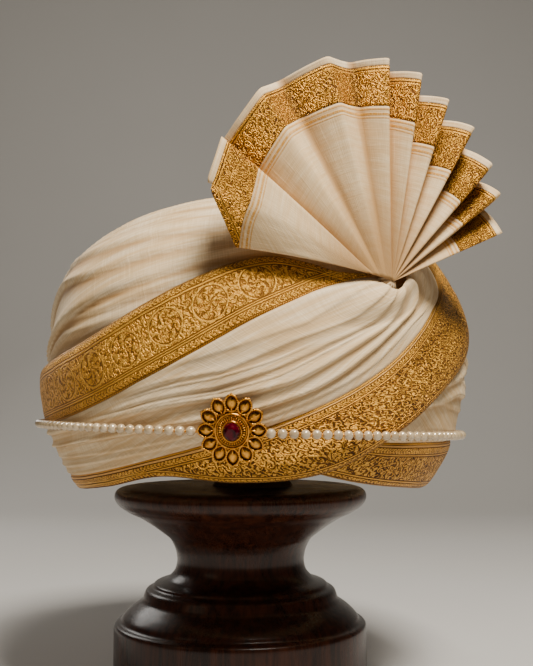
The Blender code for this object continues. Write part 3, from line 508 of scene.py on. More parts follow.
class Paint:
    """Builds one material from nodes."""

    def __init__(self, name, **settings):
        self.material = bpy.data.materials.new(name)
        self.material.use_nodes = True
        self.tree = self.material.node_tree
        self.shader = self.tree.nodes["Principled BSDF"]
        for socket, value in settings.items():
            self.shader.inputs[socket.replace("_", " ")].default_value = value

    def feed(self, value, socket):
        """Put a term or a plain value into a socket."""
        if isinstance(value, Term):
            self.tree.links.new(value.socket, socket)
        else:
            socket.default_value = value

    def node(self, kind, inputs, output=0, **settings):
        """Add a node, feed its inputs by name or number and give one output."""
        node = self.tree.nodes.new(kind)
        for name, value in settings.items():
            setattr(node, name, value)
        for name, value in inputs.items():
            self.feed(value, node.inputs[name])
        return Term(self, node.outputs[output])

    def math(self, operation, *values):
        """Work out one sum."""
        return self.node("ShaderNodeMath", dict(enumerate(values)), operation=operation)

    def sin(self, value):
        """Sine of an angle."""
        return self.math("SINE", value)

    def least(self, first, second):
        """Smaller of two values."""
        return self.math("MINIMUM", first, second)

    def size(self, value):
        """Value without its sign."""
        return self.math("ABSOLUTE", value)

    def repeat(self, value, length):
        """Distance from the middle of the nearest of many equal lengths."""
        return self.math("PINGPONG", value + 0.5 * length, 0.5 * length)

    def step(self, value, start, end, low=0.0, high=1.0):
        """Ease a value between two limits."""
        inputs = {"Value": value, "From Min": start, "From Max": end, "To Min": low, "To Max": high}
        return self.node("ShaderNodeMapRange", inputs, interpolation_type="SMOOTHSTEP")

    def line(self, value, place, width, soft):
        """Soft line, 1 at a place and 0 beyond its width."""
        return self.step(self.size(value - place), 0.5 * width, 0.5 * width + soft, 1.0, 0.0)

    def place(self, name="cloth"):
        """Three parts of a position that is stored on the mesh."""
        return self.parts(self.node("ShaderNodeAttribute", {}, output="Vector", attribute_name=name))

    def body(self):
        """Position in the object's own frame, as a vector and in three parts."""
        spot = self.node("ShaderNodeTexCoord", {}, output="Object")
        return spot, self.parts(spot)

    def vector(self, *parts):
        """Vector of three parts."""
        return self.node("ShaderNodeCombineXYZ", dict(enumerate(parts)))

    def noise(self, vector, scale, detail=2.0, rough=0.5, bend=0.0):
        """Cloudy noise from 0 to 1."""
        inputs = {"Vector": vector, "Scale": scale, "Detail": detail, "Roughness": rough, "Distortion": bend}
        return self.node("ShaderNodeTexNoise", inputs, noise_dimensions="3D")

    def parts(self, vector):
        """Three parts of a vector."""
        split = self.tree.nodes.new("ShaderNodeSeparateXYZ")
        self.feed(vector, split.inputs[0])
        return [Term(self, output) for output in split.outputs]

    def cells(self, vector):
        """Scattered cells: place from the cell's middle in two parts, and a random number."""
        node = self.tree.nodes.new("ShaderNodeTexVoronoi")
        node.voronoi_dimensions = "2D"
        self.feed(vector, node.inputs["Vector"])
        node.inputs["Scale"].default_value = 1.0
        here = self.parts(vector)
        middle = self.parts(Term(self, node.outputs["Position"]))
        dice = self.parts(Term(self, node.outputs["Color"]))
        return here[0] - middle[0], here[1] - middle[1], dice[0]

    def mix(self, share, first, second):
        """Blend two colours."""
        node = self.tree.nodes.new("ShaderNodeMix")
        node.data_type = "RGBA"
        self.feed(share, node.inputs[0])
        self.feed(first if isinstance(first, Term) else (*first, 1.0), node.inputs[6])
        self.feed(second if isinstance(second, Term) else (*second, 1.0), node.inputs[7])
        return Term(self, node.outputs[2])

    def finish(self, colour, rough, height, depth, strength=1.0):
        """Wire colour, roughness and a bump whose height is given from 0 to 1."""
        self.feed(colour, self.shader.inputs["Base Color"])
        self.feed(rough, self.shader.inputs["Roughness"])
        bump = self.node("ShaderNodeBump", {"Height": height, "Distance": depth, "Strength": strength})
        self.feed(bump, self.shader.inputs["Normal"])
        return self.material


def silk_weave(paint, along, across):
    """Uneven threads both ways, with slubs: height from 0 to 1."""
    warp = paint.noise(paint.vector(along * 60.0, across * 1250.0, 0.0), 1.0, 2.0, 0.6)
    weft = paint.noise(paint.vector(along * 1250.0, across * 60.0, 7.0), 1.0, 2.0, 0.6)
    slub = paint.noise(paint.vector(along * 620.0, across * 30.0, 3.0), 1.0, 1.0, 0.5)
    slub = paint.step(slub, 0.60, 0.76)
    return warp * 0.5 + weft * 0.5 + slub * 0.22


def make_silk(name, lines=False):
    """Raw silk: cream, finely woven, with painted shade that makes it warmer and darker in the folds."""
    paint = Paint(name, Sheen_Weight=0.08, Sheen_Roughness=0.4, Sheen_Tint=SILK_SHEEN,
                  Specular_IOR_Level=0.35)
    along, across, fold = paint.place()
    threads = silk_weave(paint, along, across)
    cloud = paint.noise(paint.vector(along * 22.0, across * 34.0, 1.0), 1.0, 3.0, 0.55)
    streak = paint.noise(paint.vector(along * 16.0, across * 380.0, 5.0), 1.0, 2.0, 0.6)
    # The crest's silk takes a darker lit colour: painted shade over the crest
    light = SILK_CREST_SHADED if lines else SILK_LIGHT
    colour = paint.mix(paint.step(cloud * 0.4 + streak * 0.6, 0.38, 0.62), SILK_DEEP, light)
    colour = paint.mix(paint.step(threads, 0.36, 0.66, 0.45, 0.0), colour, SILK_THREAD)
    # Painted shade: warm dark colour where the fold shade is low, spread wider on the crest
    colour = paint.mix(paint.step(fold, 0.0, 0.90 if lines else 0.62, 0.82, 0.0), colour, SILK_FOLD_SHADE)
    height = threads
    if lines:
        mark = paint.place("edge")[0] / MM
        grain = paint.noise(paint.vector(along * 900.0, across * 200.0, 0.0), 1.0)
        grain = paint.step(grain, 0.3, 0.6, 0.5, 1.0)
        marks = sum(paint.line(mark, place, width, soft) * share for place, width, soft, share in CREST_LINES)
        marks = paint.least(marks * grain, 1.0)
        colour = paint.mix(marks, colour, LINE_GOLD)
        height = threads + marks * 0.6
    return paint.finish(colour, paint.step(threads, 0.2, 0.8, 0.60, 0.80), height, 0.00030, 0.9)


def curls(paint, along, across, size, stroke):
    """Curling strokes wound about scattered middles, sizes in mm: from about -1.5 to 1.5."""
    bend = paint.vector(along * 0.30, across * 0.30, 4.0)
    along = along + (paint.noise(bend, 1.0, 1.0) - 0.5) * (0.9 * size)
    across = across + (paint.noise(bend, 1.7, 1.0) - 0.5) * (0.9 * size)
    side, over, dice = paint.cells(paint.vector(along / size, across / size, 0.0))
    out = paint.math("POWER", side * side + over * over, 0.5)
    turn = paint.math("ARCTAN2", over, side)
    hand = paint.step(dice, 0.49, 0.51, -1.0, 1.0)
    winding = paint.sin(turn * hand * 2.0 + out * (2.0 * math.pi * size / stroke) + dice * 40.0)
    grain = paint.noise(paint.vector(along * 0.9 / stroke, across * 0.9 / stroke, 2.0), 1.0, 2.0, 0.6, 0.5)
    return winding + (grain - 0.5) * 2.6


def medallions(paint, along, across, period, half):
    """Round leafy medallions in a row: their strokes, their share of the ground and their outline."""
    way = paint.math("FLOORED_MODULO", along, period) - 0.5 * period
    out = paint.math("POWER", way * way + across * across, 0.5)
    turn = paint.math("ARCTAN2", across, way)
    wobble = paint.noise(paint.vector(along * 0.35, across * 0.35, 9.0), 1.0, 1.0) * 2.6
    petals = paint.sin(turn * 7.0 + out * (8.0 / half) + wobble)
    inside = paint.step(out, 0.90 * half, half, 1.0, 0.0)
    outline = paint.line(out, 0.97 * half, 0.5, 0.4) - paint.line(out, 0.89 * half, 0.3, 0.35) * 1.1
    outline = outline * 1.3 - paint.line(out, 0.45 * half, 0.25, 0.4) * 0.9
    return petals, inside, outline


def band_shape(paint, kind, along, across, small):
    """Raised gold of one narrow band, across from its middle."""
    if kind == "leaf":
        slant = paint.sin(along * 2.3 + paint.size(across) * 2.6)
        return paint.step(small * 0.7 + slant * 0.6, -0.9, 0.5, 0.20, 0.95)
    if kind == "rope":
        return paint.step(paint.repeat(along + across * 0.9, 1.5), 0.15, 0.6, 0.35, 1.0)
    return 0.6 if kind == "cream" else 0.85


def zari_pattern(paint, along, sides, bands, field, rounds):
    """Woven relief of a long border: share of raised gold, and share of cream thread."""
    small = curls(paint, along, sides[0], *LEAF_CURLS)
    upper, lower = (paint.step(side, start - 0.2, start + 0.2) for side, start in zip(sides, field))
    inside = upper * lower
    if rounds:
        middle = (sides[0] - sides[1] - (field[0] - field[1])) * 0.5
        petals, disc, outline = medallions(paint, along, middle, MEDALLION_PERIOD, MEDALLION_HALF)
        strokes = curls(paint, along, sides[0], *UPPER_CURLS) * 0.85 + petals * disc * 0.75 + outline
        mark = inside * paint.step(strokes, -1.5, 1.1)
    else:
        mark = inside * paint.step(curls(paint, along, sides[0], *LOWER_CURLS), -1.1, 1.1)
    cream = 0.0
    for place, rows in zip(sides, bands):
        for kind, start, end in rows:
            across = place - 0.5 * (start + end)
            half = 0.5 * (end - start)
            inside = paint.step(paint.size(across), half - 0.15, half + 0.2, 1.0, 0.0)
            mark = mark + inside * band_shape(paint, kind, along, across, small)
            if kind == "cream":
                cream = inside
    return mark, cream


def finish_zari(paint, mark, cream, along, across, fold, threads, gaps):
    """Colour, gloss and relief of gold thread from the share of raised gold, places in mm."""
    spark = paint.noise(paint.vector(along * 1.5, across * 3.2, 0.0), 1.0, 2.0, 0.7)
    cloud = paint.noise(paint.vector(along * 0.06, across * 0.08, 6.0), 1.0, 2.0, 0.6)
    # Threads go from deep to lit over sparkle noise and raised gold: painted glints and painted light
    gold = paint.mix(paint.step(spark * 0.55 + cloud * 0.25 + mark * 0.35, 0.45, 0.92), *threads)
    ground = paint.mix(paint.step(spark * 0.5 + cloud * 0.5, 0.35, 0.65), *gaps)
    colour = paint.mix(paint.step(mark, 0.22, 0.52), ground, gold)
    colour = paint.mix(cream, colour, ZARI_CREAM)
    # Painted shade: darker deep in the folds
    colour = paint.mix(paint.step(fold, 0.0, 0.8, 0.55, 0.0), colour, ZARI_FOLD_SHADE)
    rough = paint.step(spark * 0.6 + mark * 0.4, 0.2, 0.9, 0.58, 0.32)
    return paint.finish(colour, rough, mark * 0.66 + spark * 0.34, 0.00140, 1.0)


def make_zari_border(name, bands, field, gaps, rounds):
    """Gold brocade of a long border."""
    paint = Paint(name, Metallic=0.7, Specular_IOR_Level=0.35)
    along, across, fold = paint.place()
    along = along / MM
    across = across / MM
    far = paint.place("edge")[0] / MM
    mark, cream = zari_pattern(paint, along, (across, far), bands, field, rounds)
    return finish_zari(paint, mark, cream, along, across, fold, ZARI_THREADS, gaps)


def make_zari_band(name):
    """Gold brocade of the crest's band, all curling vines, with thin lines beside its outer edge."""
    paint = Paint(name, Metallic=0.65, Specular_IOR_Level=0.35)
    along, across, fold = paint.place()
    along = along / MM
    across = across / MM
    vines = curls(paint, along, across, *CREST_CURLS)
    mark = paint.step(vines, -1.3, 1.0, 0.12, 1.0)
    rails = paint.line(across, 5.4, 0.6, 0.3) + paint.line(across, 7.3, 0.5, 0.3)
    mark = paint.least(mark + rails, 1.0) * (1.0 - paint.line(across, 6.3, 0.3, 0.3) * 0.8)
    return finish_zari(paint, mark, 0.0, along, across, fold, CREST_THREADS, CREST_GAPS)


def make_pearl():
    """Pearl: warm white with a soft sheen."""
    paint = Paint("pearl_nacre", Metallic=0.15, Coat_Weight=1.0, Coat_Roughness=0.06, Specular_IOR_Level=0.8)
    spot, _ = paint.body()
    cloud = paint.noise(spot, 210.0, 2.0)
    fine = paint.noise(spot, 1600.0, 2.0)
    colour = paint.mix(paint.step(cloud, 0.35, 0.65), *PEARL_COLOURS)
    return paint.finish(colour, paint.step(fine, 0.2, 0.8, 0.14, 0.22), fine, 0.00001, 0.1)


def make_gold(name):
    """Antique-toned yellow gold, dulled and darkened in its recesses by painted shade."""
    paint = Paint(name, Metallic=1.0)
    spot, _ = paint.body()
    cloud = paint.noise(spot, 420.0, 3.0)
    fine = paint.noise(spot, 3200.0, 2.0)
    recess = paint.place("recess")[0]
    colour = paint.mix(paint.step(cloud, 0.3, 0.7), *GOLD_COLOURS)
    # Painted shade: darker deep in the relief
    colour = paint.mix(paint.step(recess, 0.1, 0.9, 0.0, 0.92), colour, GOLD_RECESS_SHADE)
    rough = paint.step(cloud * 0.6 + fine * 0.4, 0.3, 0.7, 0.20, 0.38)
    return paint.finish(colour, rough, fine * 0.5 + cloud * 0.5, 0.00008, 0.6)


def make_ruby():
    """Deep red cut stone."""
    paint = Paint("ruby_stone_red", Coat_Weight=0.05, Coat_Roughness=0.03, Specular_IOR_Level=0.2)
    spot, _ = paint.body()
    cloud = paint.noise(spot, 260.0, 2.0)
    colour = paint.mix(paint.step(cloud, 0.35, 0.7), *RUBY_COLOURS)
    return paint.finish(colour, paint.step(cloud, 0.2, 0.8, 0.03, 0.08), cloud, 0.00002, 0.2)


def make_walnut(name):
    """Dark varnished wood with its grain upright."""
    paint = Paint(name, Coat_Weight=WALNUT_GLOSS, Coat_Roughness=0.14, Specular_IOR_Level=0.22)
    spot, (x, y, z) = paint.body()
    grain = paint.noise(paint.vector(x * 260.0, y * 260.0, z * 22.0), 1.0, 4.0, 0.6, 0.4)
    pores = paint.noise(paint.vector(x * 1500.0, y * 1500.0, z * 90.0), 1.0, 2.0, 0.6)
    cloud = paint.noise(spot, 28.0, 2.0)
    colour = paint.mix(paint.step(grain, 0.32, 0.70), *WALNUT_COLOURS)
    colour = paint.mix(paint.step(pores, 0.60, 0.72, 0.0, 0.6), colour, WALNUT_PORES)
    rough = paint.step(cloud * 0.5 + pores * 0.5, 0.3, 0.7, 0.22, 0.38)
    return paint.finish(colour, rough, grain * 0.6 + pores * 0.4, 0.00012, 0.5)


def make_plain_wood():
    """Plain oiled wood of the hidden post."""
    paint = Paint("plain_wood_grain")
    _, (x, y, z) = paint.body()
    grain = paint.noise(paint.vector(x * 240.0, y * 240.0, z * 14.0), 1.0, 4.0, 0.6, 0.3)
    colour = paint.mix(paint.step(grain, 0.3, 0.7), *WOOD_COLOURS)
    return paint.finish(colour, paint.step(grain, 0.3, 0.7, 0.5, 0.65), grain, 0.00015, 0.6)


def make_pale(name):
    """Pale matt finish of the floor."""
    paint = Paint(name)
    spot, _ = paint.body()
    cloud = paint.noise(spot, 3.0, 2.0)
    colour = paint.mix(cloud, *FLOOR_COLOURS)
    return paint.finish(colour, 0.85, cloud, 0.0001, 0.1)


def grid_faces(rows, columns, closed=False):
    """Faces of a grid of points, optionally joined round its columns."""
    faces = []
    for row in range(rows - 1):
        for column in range(columns if closed else columns - 1):
            after = (column + 1) % columns
            low = row * columns
            faces.append((low + column, low + after, low + columns + after, low + columns + column))
    return faces


def add_vectors(mesh, name, values):
    """Store a vector on every point of a mesh."""
    layer = mesh.attributes.new(name, "FLOAT_VECTOR", "POINT")
    layer.data.foreach_set("vector", np.asarray(values, dtype=np.float32).ravel())


def make_object(name, mesh, material):
    """Link a smooth mesh as a named piece that rides on the body."""
    item = bpy.data.objects.new(name, mesh)
    bpy.context.scene.collection.objects.link(item)
    mesh.materials.append(material)
    mesh.polygons.foreach_set("use_smooth", [True] * len(mesh.polygons))
    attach(item, "root")
    return item


def make_surface(name, points, cloth, material, closed=False):
    """Piece from a grid of points; cloth holds place along, place across and painted fold shade."""
    rows, columns = points.shape[:2]
    mesh = bpy.data.meshes.new(name)
    mesh.from_pydata(points.reshape(-1, 3).tolist(), [], grid_faces(rows, columns, closed))
    add_vectors(mesh, "cloth", cloth.reshape(-1, 3))
    return make_object(name, mesh, material)


def thicken(item, thickness, side=-1.0):
    """Give a sheet its thickness, on its inner side unless told otherwise."""
    shell = item.modifiers.new("Cloth thickness", "SOLIDIFY")
    shell.thickness = thickness
    shell.offset = side


def close_ends(item):
    """Fill a piece's open ends and face it outward."""
    working = bmesh.new()
    working.from_mesh(item.data)
    loops = [edge for edge in working.edges if edge.is_boundary]
    bmesh.ops.holes_fill(working, edges=loops, sides=0)
    bmesh.ops.recalc_face_normals(working, faces=list(working.faces))
    working.to_mesh(item.data)
    working.free()


WRAP_LINES = [np.array([direction(*row[line]) for row in WRAP_ROWS]) for line in range(5)]


def wrap_heading(along, across):
    """Direction on the wrap: across 0 to 1 upper border, 1 to 2 panel, 2 to 3 lower border."""
    lines = [unit(spline(line, along)) for line in WRAP_LINES]
    share = across[..., None]
    upper = lines[0] * (1.0 - share) + lines[1] * share
    lower = lines[3] * (3.0 - share) + lines[4] * (share - 2.0)
    share = share - 1.0
    panel = lines[1] * (1.0 - share) * (1.0 - 2.0 * share)
    panel = panel + lines[2] * 4.0 * share * (1.0 - share) + lines[3] * share * (2.0 * share - 1.0)
    share = across[..., None]
    return unit(np.where(share <= 1.0, upper, np.where(share >= 2.0, lower, panel)))


def wrap_rise(along, across):
    """Rise of the wrap's start, over its own end and over the foot of the crest."""
    over = ease(across, *RAISED_ACROSS) * ease(along, *RAISED_START) * (1.0 - ease(along, *RAISED_END))
    gather = (1.0 - ease(along, *GATHER_ALONG)) * ease(across, *GATHER_ACROSS)
    return OVERLAP_RISE * over + GATHER_RISE * gather


def wrap_grid(start, end, columns, rows):
    """Rows and places across for a strip of the wrap."""
    along = np.linspace(WRAP_START, LAST_ROW, columns)
    return np.meshgrid(along, np.linspace(start, end, rows), indexing="ij")


def strip_places(points):
    """Real place along a strip's middle, and real distances from its upper and lower edges."""
    middle = points[:, points.shape[1] // 2]
    steps = np.linalg.norm(np.diff(points, axis=1), axis=-1)
    upper = np.concatenate([np.zeros((len(points), 1)), np.cumsum(steps, axis=1)], axis=1)
    along = np.repeat(arc_lengths(middle)[:, None], points.shape[1], axis=1)
    return along, upper, upper[:, -1:] - upper


def panel_relief(along, across):
    """Height in mm of the long wrap's folds over its seat."""
    height = np.full(along.shape, 0.0)
    for tall, above, below, points in PANEL_RIDGES:
        place = np.interp(along, [row for row, _ in points], [spot for _, spot in points])
        ends = ease(along, points[0][0] - 0.01, points[0][0] + 1.2)
        ends = ends * (1.0 - ease(along, points[-1][0] - 1.5, points[-1][0] + 0.01))
        wander = 0.008 * ruffle(along * 0.5, np.full(along.shape, tall * 7.0), 5)
        height = height + tall * ends * ridge(across - place - wander, above, below / above)
    return height + puckers(PANEL_PUCKERS, along, across)


def make_panel(material):
    """Long folded cloth of the wrap."""
    along, across = wrap_grid(1.0, 2.0, *PANEL_GRID)
    height = panel_relief(along, across)
    edge = ease(across, 1.0, 1.03) * (1.0 - ease(across, 1.97, 2.0))
    lift = WRAP_SEAT + MM * (1.3 + 0.6 * edge + np.clip(height, -1.0, 4.2) * (0.25 + 0.75 * edge))
    points = on_dome(wrap_heading(along, across), lift + wrap_rise(along, across))
    place, upper, _ = strip_places(points)
    # Painted shade: the folds' hollows are stored darker, for the silk's colour
    item = make_surface("panel_cloth", points, np.stack([place, upper, crests(height, 21)], -1), material)
    thicken(item, PANEL_CLOTH)
    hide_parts("wrap_panel")


def make_border(name, node, start, end, material):
    """Woven gold border of the wrap, with its edges turned down to the cloth."""
    along, across = wrap_grid(start, end, *BORDER_GRID)
    share = across - start
    heading = wrap_heading(along, across)
    arch = 1.0 - np.abs(2.0 * share - 1.0) ** 10
    wave = puckers(BORDER_PUCKERS, along, share)
    height = BORDER_THICKNESS * (0.45 + 0.55 * arch) + MM * wave * arch
    points = on_dome(heading, WRAP_SEAT + height + wrap_rise(along, across))
    place, upper, lower = strip_places(points)
    # Painted shade: darker where the edges turn down and in the puckers' hollows
    shade = np.clip(0.75 + 0.5 * wave, 0.0, 1.0) * (0.4 + 0.6 * arch)
    item = make_surface(name, points, np.stack([place, upper, shade], -1), material)
    add_vectors(item.data, "edge", np.stack([lower, upper, shade], -1).reshape(-1, 3))
    thicken(item, BORDER_CLOTH)
    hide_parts(node)


def crown_fields(heading):
    """Fold angle, share along and distance from the axis between the dome's gathering points."""
    flat = np.zeros(heading.shape[:-1])
    left = on_dome(direction(*CROWN_POLES[0]), np.float64(0.0))
    right = on_dome(direction(*CROWN_POLES[1]), np.float64(0.0))
    length = np.linalg.norm(right - left)
    axis = (right - left) / length
    arm = on_dome(heading, flat) - left
    share = arm @ axis / length
    arm = arm - (arm @ axis)[..., None] * axis
    up = unit(np.array([0.0, 0.0, 1.0]) - axis * axis[2])
    front = np.cross(axis, up)
    return np.degrees(np.arctan2(arm @ up, arm @ front)), share, np.linalg.norm(arm, axis=-1)


def crown_relief(heading):
    """Height in mm of the dome's folds, with the fold angle and share along that give it."""
    angle, share, distance = crown_fields(heading)
    left = np.exp(-(np.clip(share, 0.0, 1.0) - 0.2) / 0.12)
    height = np.zeros(angle.shape)
    for at, swing, tall, width in CROWN_RIDGES:
        wander = 1.2 * ruffle(share * 7.0, np.full(share.shape, at), 31)
        offset = at + swing * np.minimum(left, 1.4) + wander - angle
        height = np.maximum(height, tall * ridge(offset, width, 0.30))
    height = height * (1.0 + CROWN_LEFT_FOLDS * np.minimum(left, 1.0))
    height = height + puckers(CROWN_PUCKERS, share, angle)
    return height * ease(distance, 0.015, 0.060), angle, share


def make_crown(material):
    """Wound dome: folded outside, rolled rim and the hollow for the head."""
    azimuth = np.linspace(-180.0, 180.0, CROWN_SEGMENTS, endpoint=False)
    rim_rise = table(RIM_ROWS, azimuth)
    tilt = CROWN_TOP - (CROWN_TOP - rim_rise) * np.linspace(0.0, 1.0, CROWN_ROWS_OUTSIDE + 1)[:, None]
    heading = direction(np.broadcast_to(azimuth, tilt.shape), tilt)
    relief, angle, share = crown_relief(heading)
    above = tilt - table(WRAP_EDGE, azimuth)
    seat = CROWN_LOW * (1.0 - ease(above, *CROWN_RISE)) + MM * (relief - CROWN_DIP) * ease(above, -1.0, 3.0)
    lift = CROWN_SEAT + (seat - CROWN_SEAT) * ease(above, -4.0, 1.0)
    # Painted shade: the folds' hollows are stored darker, for the silk's colour
    shade = crests(relief.T, 9).T
    rows = list(on_dome(heading, lift))
    cloth = list(np.stack([share * 0.26, np.radians(angle) * 0.13, shade], -1))
    level = np.full(CROWN_SEGMENTS, 1.0)
    rim = on_dome(direction(azimuth, rim_rise), CROWN_SEAT * level)
    turn = np.radians(azimuth)
    squash = np.hypot(np.sin(turn) / HOLLOW_HALF_WIDTH, np.cos(turn) / HOLLOW_HALF_DEPTH)
    wall = np.stack([np.sin(turn) / squash + CENTER[0], -np.cos(turn) / squash + CENTER[1], rim[:, 2]], -1)
    for share, rise in RIM_ROLL:
        point = rim * (1.0 - share) + wall * share
        point[:, 2] += rise * RIM_ROLL_HEIGHT
        rows.append(point)
        cloth.append(np.stack([turn * 0.1, level * share * 0.03, level * 0.5], -1))
    for step in range(1, CROWN_ROWS_INSIDE + 1):
        share = 0.5 * math.pi * step / CROWN_ROWS_INSIDE
        reach = max(math.cos(share), 0.002) ** HOLLOW_BULGE
        foot = wall[:, 2] + RIM_ROLL_HEIGHT
        point = CENTER * (1.0 - reach) + wall * reach
        point[:, 2] = foot + (CENTER[2] + HOLLOW_RISE - foot) * math.sin(share)
        rows.append(point)
        cloth.append(np.stack([turn * 0.1, level * (0.03 + 0.06 * share), level * 0.5], -1))
    item = make_surface("crown_cloth", np.array(rows), np.array(cloth), material, closed=True)
    close_ends(item)
    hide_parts("crown_wrap")


CREST_FOOT = on_dome(direction(*FOOT_DIRECTION), np.float64(FOOT_LIFT))
CREST_PLACES = np.linspace(0.0, len(CREST_FOLDS) - 1.0, (len(CREST_FOLDS) - 1) * PLEAT_STEPS + 1)


def by_fold(values):
    """Values of the folds read closely across every pleat."""
    return np.interp(CREST_PLACES, np.arange(len(CREST_FOLDS)), values)


def crest_feet():
    """Foot of every column, spread to the left along the wrap's upper edge."""
    share = np.clip(CREST_PLACES / CREST_SPREAD, 0.0, 1.0)
    left, right = np.array(FOOT_LEFT), np.array(FOOT_DIRECTION)
    spot = left + (right - left) * share[:, None]
    return on_dome(direction(spot[:, 0], spot[:, 1]), np.full(len(spot), FOOT_LIFT))


def crest_surface(reach):
    """Points across the whole crest at a reach for every column, with softened folds."""
    folds = np.array(CREST_FOLDS)
    angle = np.radians(folds[:, 0])
    arm = np.stack([folds[:, 1] * np.sin(angle), folds[:, 2], folds[:, 1] * np.cos(angle)], -1) * CREST_LENGTH
    order = np.arange(len(folds))
    arm[:, 1] += np.where(order < 2, 0.0, np.where(order % 2 == 0, -CREST_DEEPEN, CREST_DEEPEN))
    index = np.clip(np.floor(CREST_PLACES).astype(int), 0, len(folds) - 2)
    share = (CREST_PLACES - index)[:, None]
    length = arm[index] * (1.0 - share) + arm[index + 1] * share
    bow = folds[index, 4] * (1.0 - share[:, 0]) + folds[index + 1, 4] * share[:, 0]
    foot = crest_feet()
    length = length - (foot - CREST_FOOT)
    lines = foot + length * reach[:, None]
    lines[:, 1] -= CREST_BOW * bow * 4.0 * reach * (1.0 - reach)
    facing = unit(np.cross(arm[index], arm[index + 1] - arm[index]))
    facing = facing * np.where(facing[:, 1:2] > 0.0, -1.0, 1.0)
    wide = np.linalg.norm(arm[index + 1] - arm[index], axis=-1) * reach
    wide = np.where(index < 2, np.linalg.norm(arm[2] - arm[0]) * reach, wide)
    place = np.where(index < 2, 0.5 * CREST_PLACES, share[:, 0])
    front = np.where((index < 2) | (index % 2 == 1), CREST_BELLY, -0.5 * CREST_BELLY)
    lines = lines + facing * (np.sin(math.pi * place) * wide * front)[:, None]
    flap = 2 * PLEAT_STEPS - 1
    for _ in range(FLAP_PASSES):
        lines[1:flap, 1] = soften(lines[:flap + 1, 1])
    for _ in range(FOLD_PASSES):
        lines[1:-1] = soften(lines)
    return lines


def crest_limits(kind):
    """Reach of every column at the inner and outer sides of one strip, and the column's length."""
    folds = np.array(CREST_FOLDS)
    length = folds[:, 1] * CREST_LENGTH
    start = by_fold(folds[:, 3])
    edge = by_fold(1.0 - SELVEDGE_WIDTH / length)
    edge = np.where(CREST_PLACES < 1.0, 1.0, edge)
    foot = by_fold(CREST_START * FOOT_CLEAR / length)
    limits = {"field": (foot, start), "band": (start, edge), "edge": (edge, np.ones(len(edge)))}
    return *limits[kind], by_fold(length)


def make_crest_strip(name, node, kind, material):
    """One strip of the pleated crest."""
    rows, thickness = CREST_STRIPS[kind]
    along = arc_lengths(crest_surface(np.ones(len(CREST_PLACES))))
    low, high, length = crest_limits(kind)
    share = np.where(CREST_PLACES < 2.0, 1.0, np.abs((CREST_PLACES % 2.0) - 1.0))
    points = []
    cloth = []
    marks = []
    for row in range(rows):
        reach = low + (high - low) * row / (rows - 1.0)
        line = crest_surface(reach)
        across = (1.0 - reach) * length
        line[:, 1] += MM * puckers(CREST_PUCKERS, along, across) * ease(reach, 0.15, 0.6)
        # Painted shade: dark on the valley side of each pleat and near the crest's foot
        light = 0.55 * ease(share, 0.0, 0.30) + 0.45 * ease(share, 0.0, 1.0)
        shade = 0.03 + 0.97 * light * ease(reach, -0.05, 0.70)
        points.append(line)
        cloth.append(np.stack([along, across, shade], -1))
        marks.append(np.stack([(high - reach) * length, across, reach], -1))
    points, cloth, marks = np.array(points), np.array(cloth), np.array(marks)
    if kind == "edge":
        points, cloth, marks = (part[:, PLEAT_STEPS:] for part in (points, cloth, marks))
    item = make_surface(name, points, cloth, material)
    add_vectors(item.data, "edge", marks.reshape(-1, 3))
    thicken(item, thickness, 0.0)
    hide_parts(node)
    return item


def make_crest(silk, silk_lines, zari):
    """Pleated crest: plain field with thin gold lines, gold band and plain outer edge."""
    field = make_crest_strip("crest_cloth", "crest_field", "field", silk_lines)
    edge = make_crest_strip("crest_edge", "crest_selvedge", "edge", silk)
    band = make_crest_strip("crest_brocade", "crest_border", "band", zari)


def make_knot(material):
    """Gathered knot under the foot of the crest."""
    heading = direction(*FOOT_DIRECTION)
    normal = dome_normal(heading)
    middle = on_dome(heading, np.float64(CROWN_SEAT)) + normal * KNOT_SQUASH * KNOT_RADIUS
    side = unit(np.cross([0.0, 0.0, 1.0], normal))
    over = np.cross(normal, side)
    turns = np.linspace(0.0, 2.0 * math.pi, KNOT_GRID[1], endpoint=False)
    rows = []
    cloth = []
    for tilt in np.linspace(0.02, math.pi - 0.02, KNOT_GRID[0]):
        fold = np.cos(KNOT_PLEATS * turns + 2.0 * tilt)
        pleat = 1.0 + 0.09 * fold * math.sin(tilt) + 0.03 * np.sin(5.0 * turns)
        flat = side * np.cos(turns)[:, None] + over * np.sin(turns)[:, None]
        reach = KNOT_SPREAD * KNOT_RADIUS * math.sin(tilt) * pleat
        rows.append(middle + flat * reach[:, None] + normal * KNOT_SQUASH * KNOT_RADIUS * math.cos(tilt))
        # Painted shade in the hollows between the knot's pleats
        shade = np.clip(0.5 + 0.5 * fold, 0.0, 1.0)
        cloth.append(np.stack([np.full(KNOT_GRID[1], tilt * KNOT_RADIUS), turns * KNOT_RADIUS, shade], -1))
    item = make_surface("knot_cloth", np.array(rows)[::-1], np.array(cloth)[::-1], material, closed=True)
    close_ends(item)
    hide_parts("knot_tuck")


def string_points(count):
    """Points on the centre line of the pearl string, closely spaced."""
    azimuth = np.linspace(-180.0, 180.0, count, endpoint=False)
    lift = STRING_SEAT + OVERLAP_RISE * table(STRING_RIDES, azimuth)
    low = np.full(count, STRING_SEARCH[0])
    high = np.full(count, STRING_SEARCH[1])
    for _ in range(SEARCH_STEPS):
        middle = 0.5 * (low + high)
        point = on_dome(direction(azimuth, middle), lift)
        level = CENTER[2] - STRING_LEVEL * DOME_DROP + STRING_TILT * (point[:, 0] - CENTER[0])
        above = point[:, 2] > level
        high = np.where(above, middle, high)
        low = np.where(above, low, middle)
    return on_dome(direction(azimuth, 0.5 * (low + high)), lift)


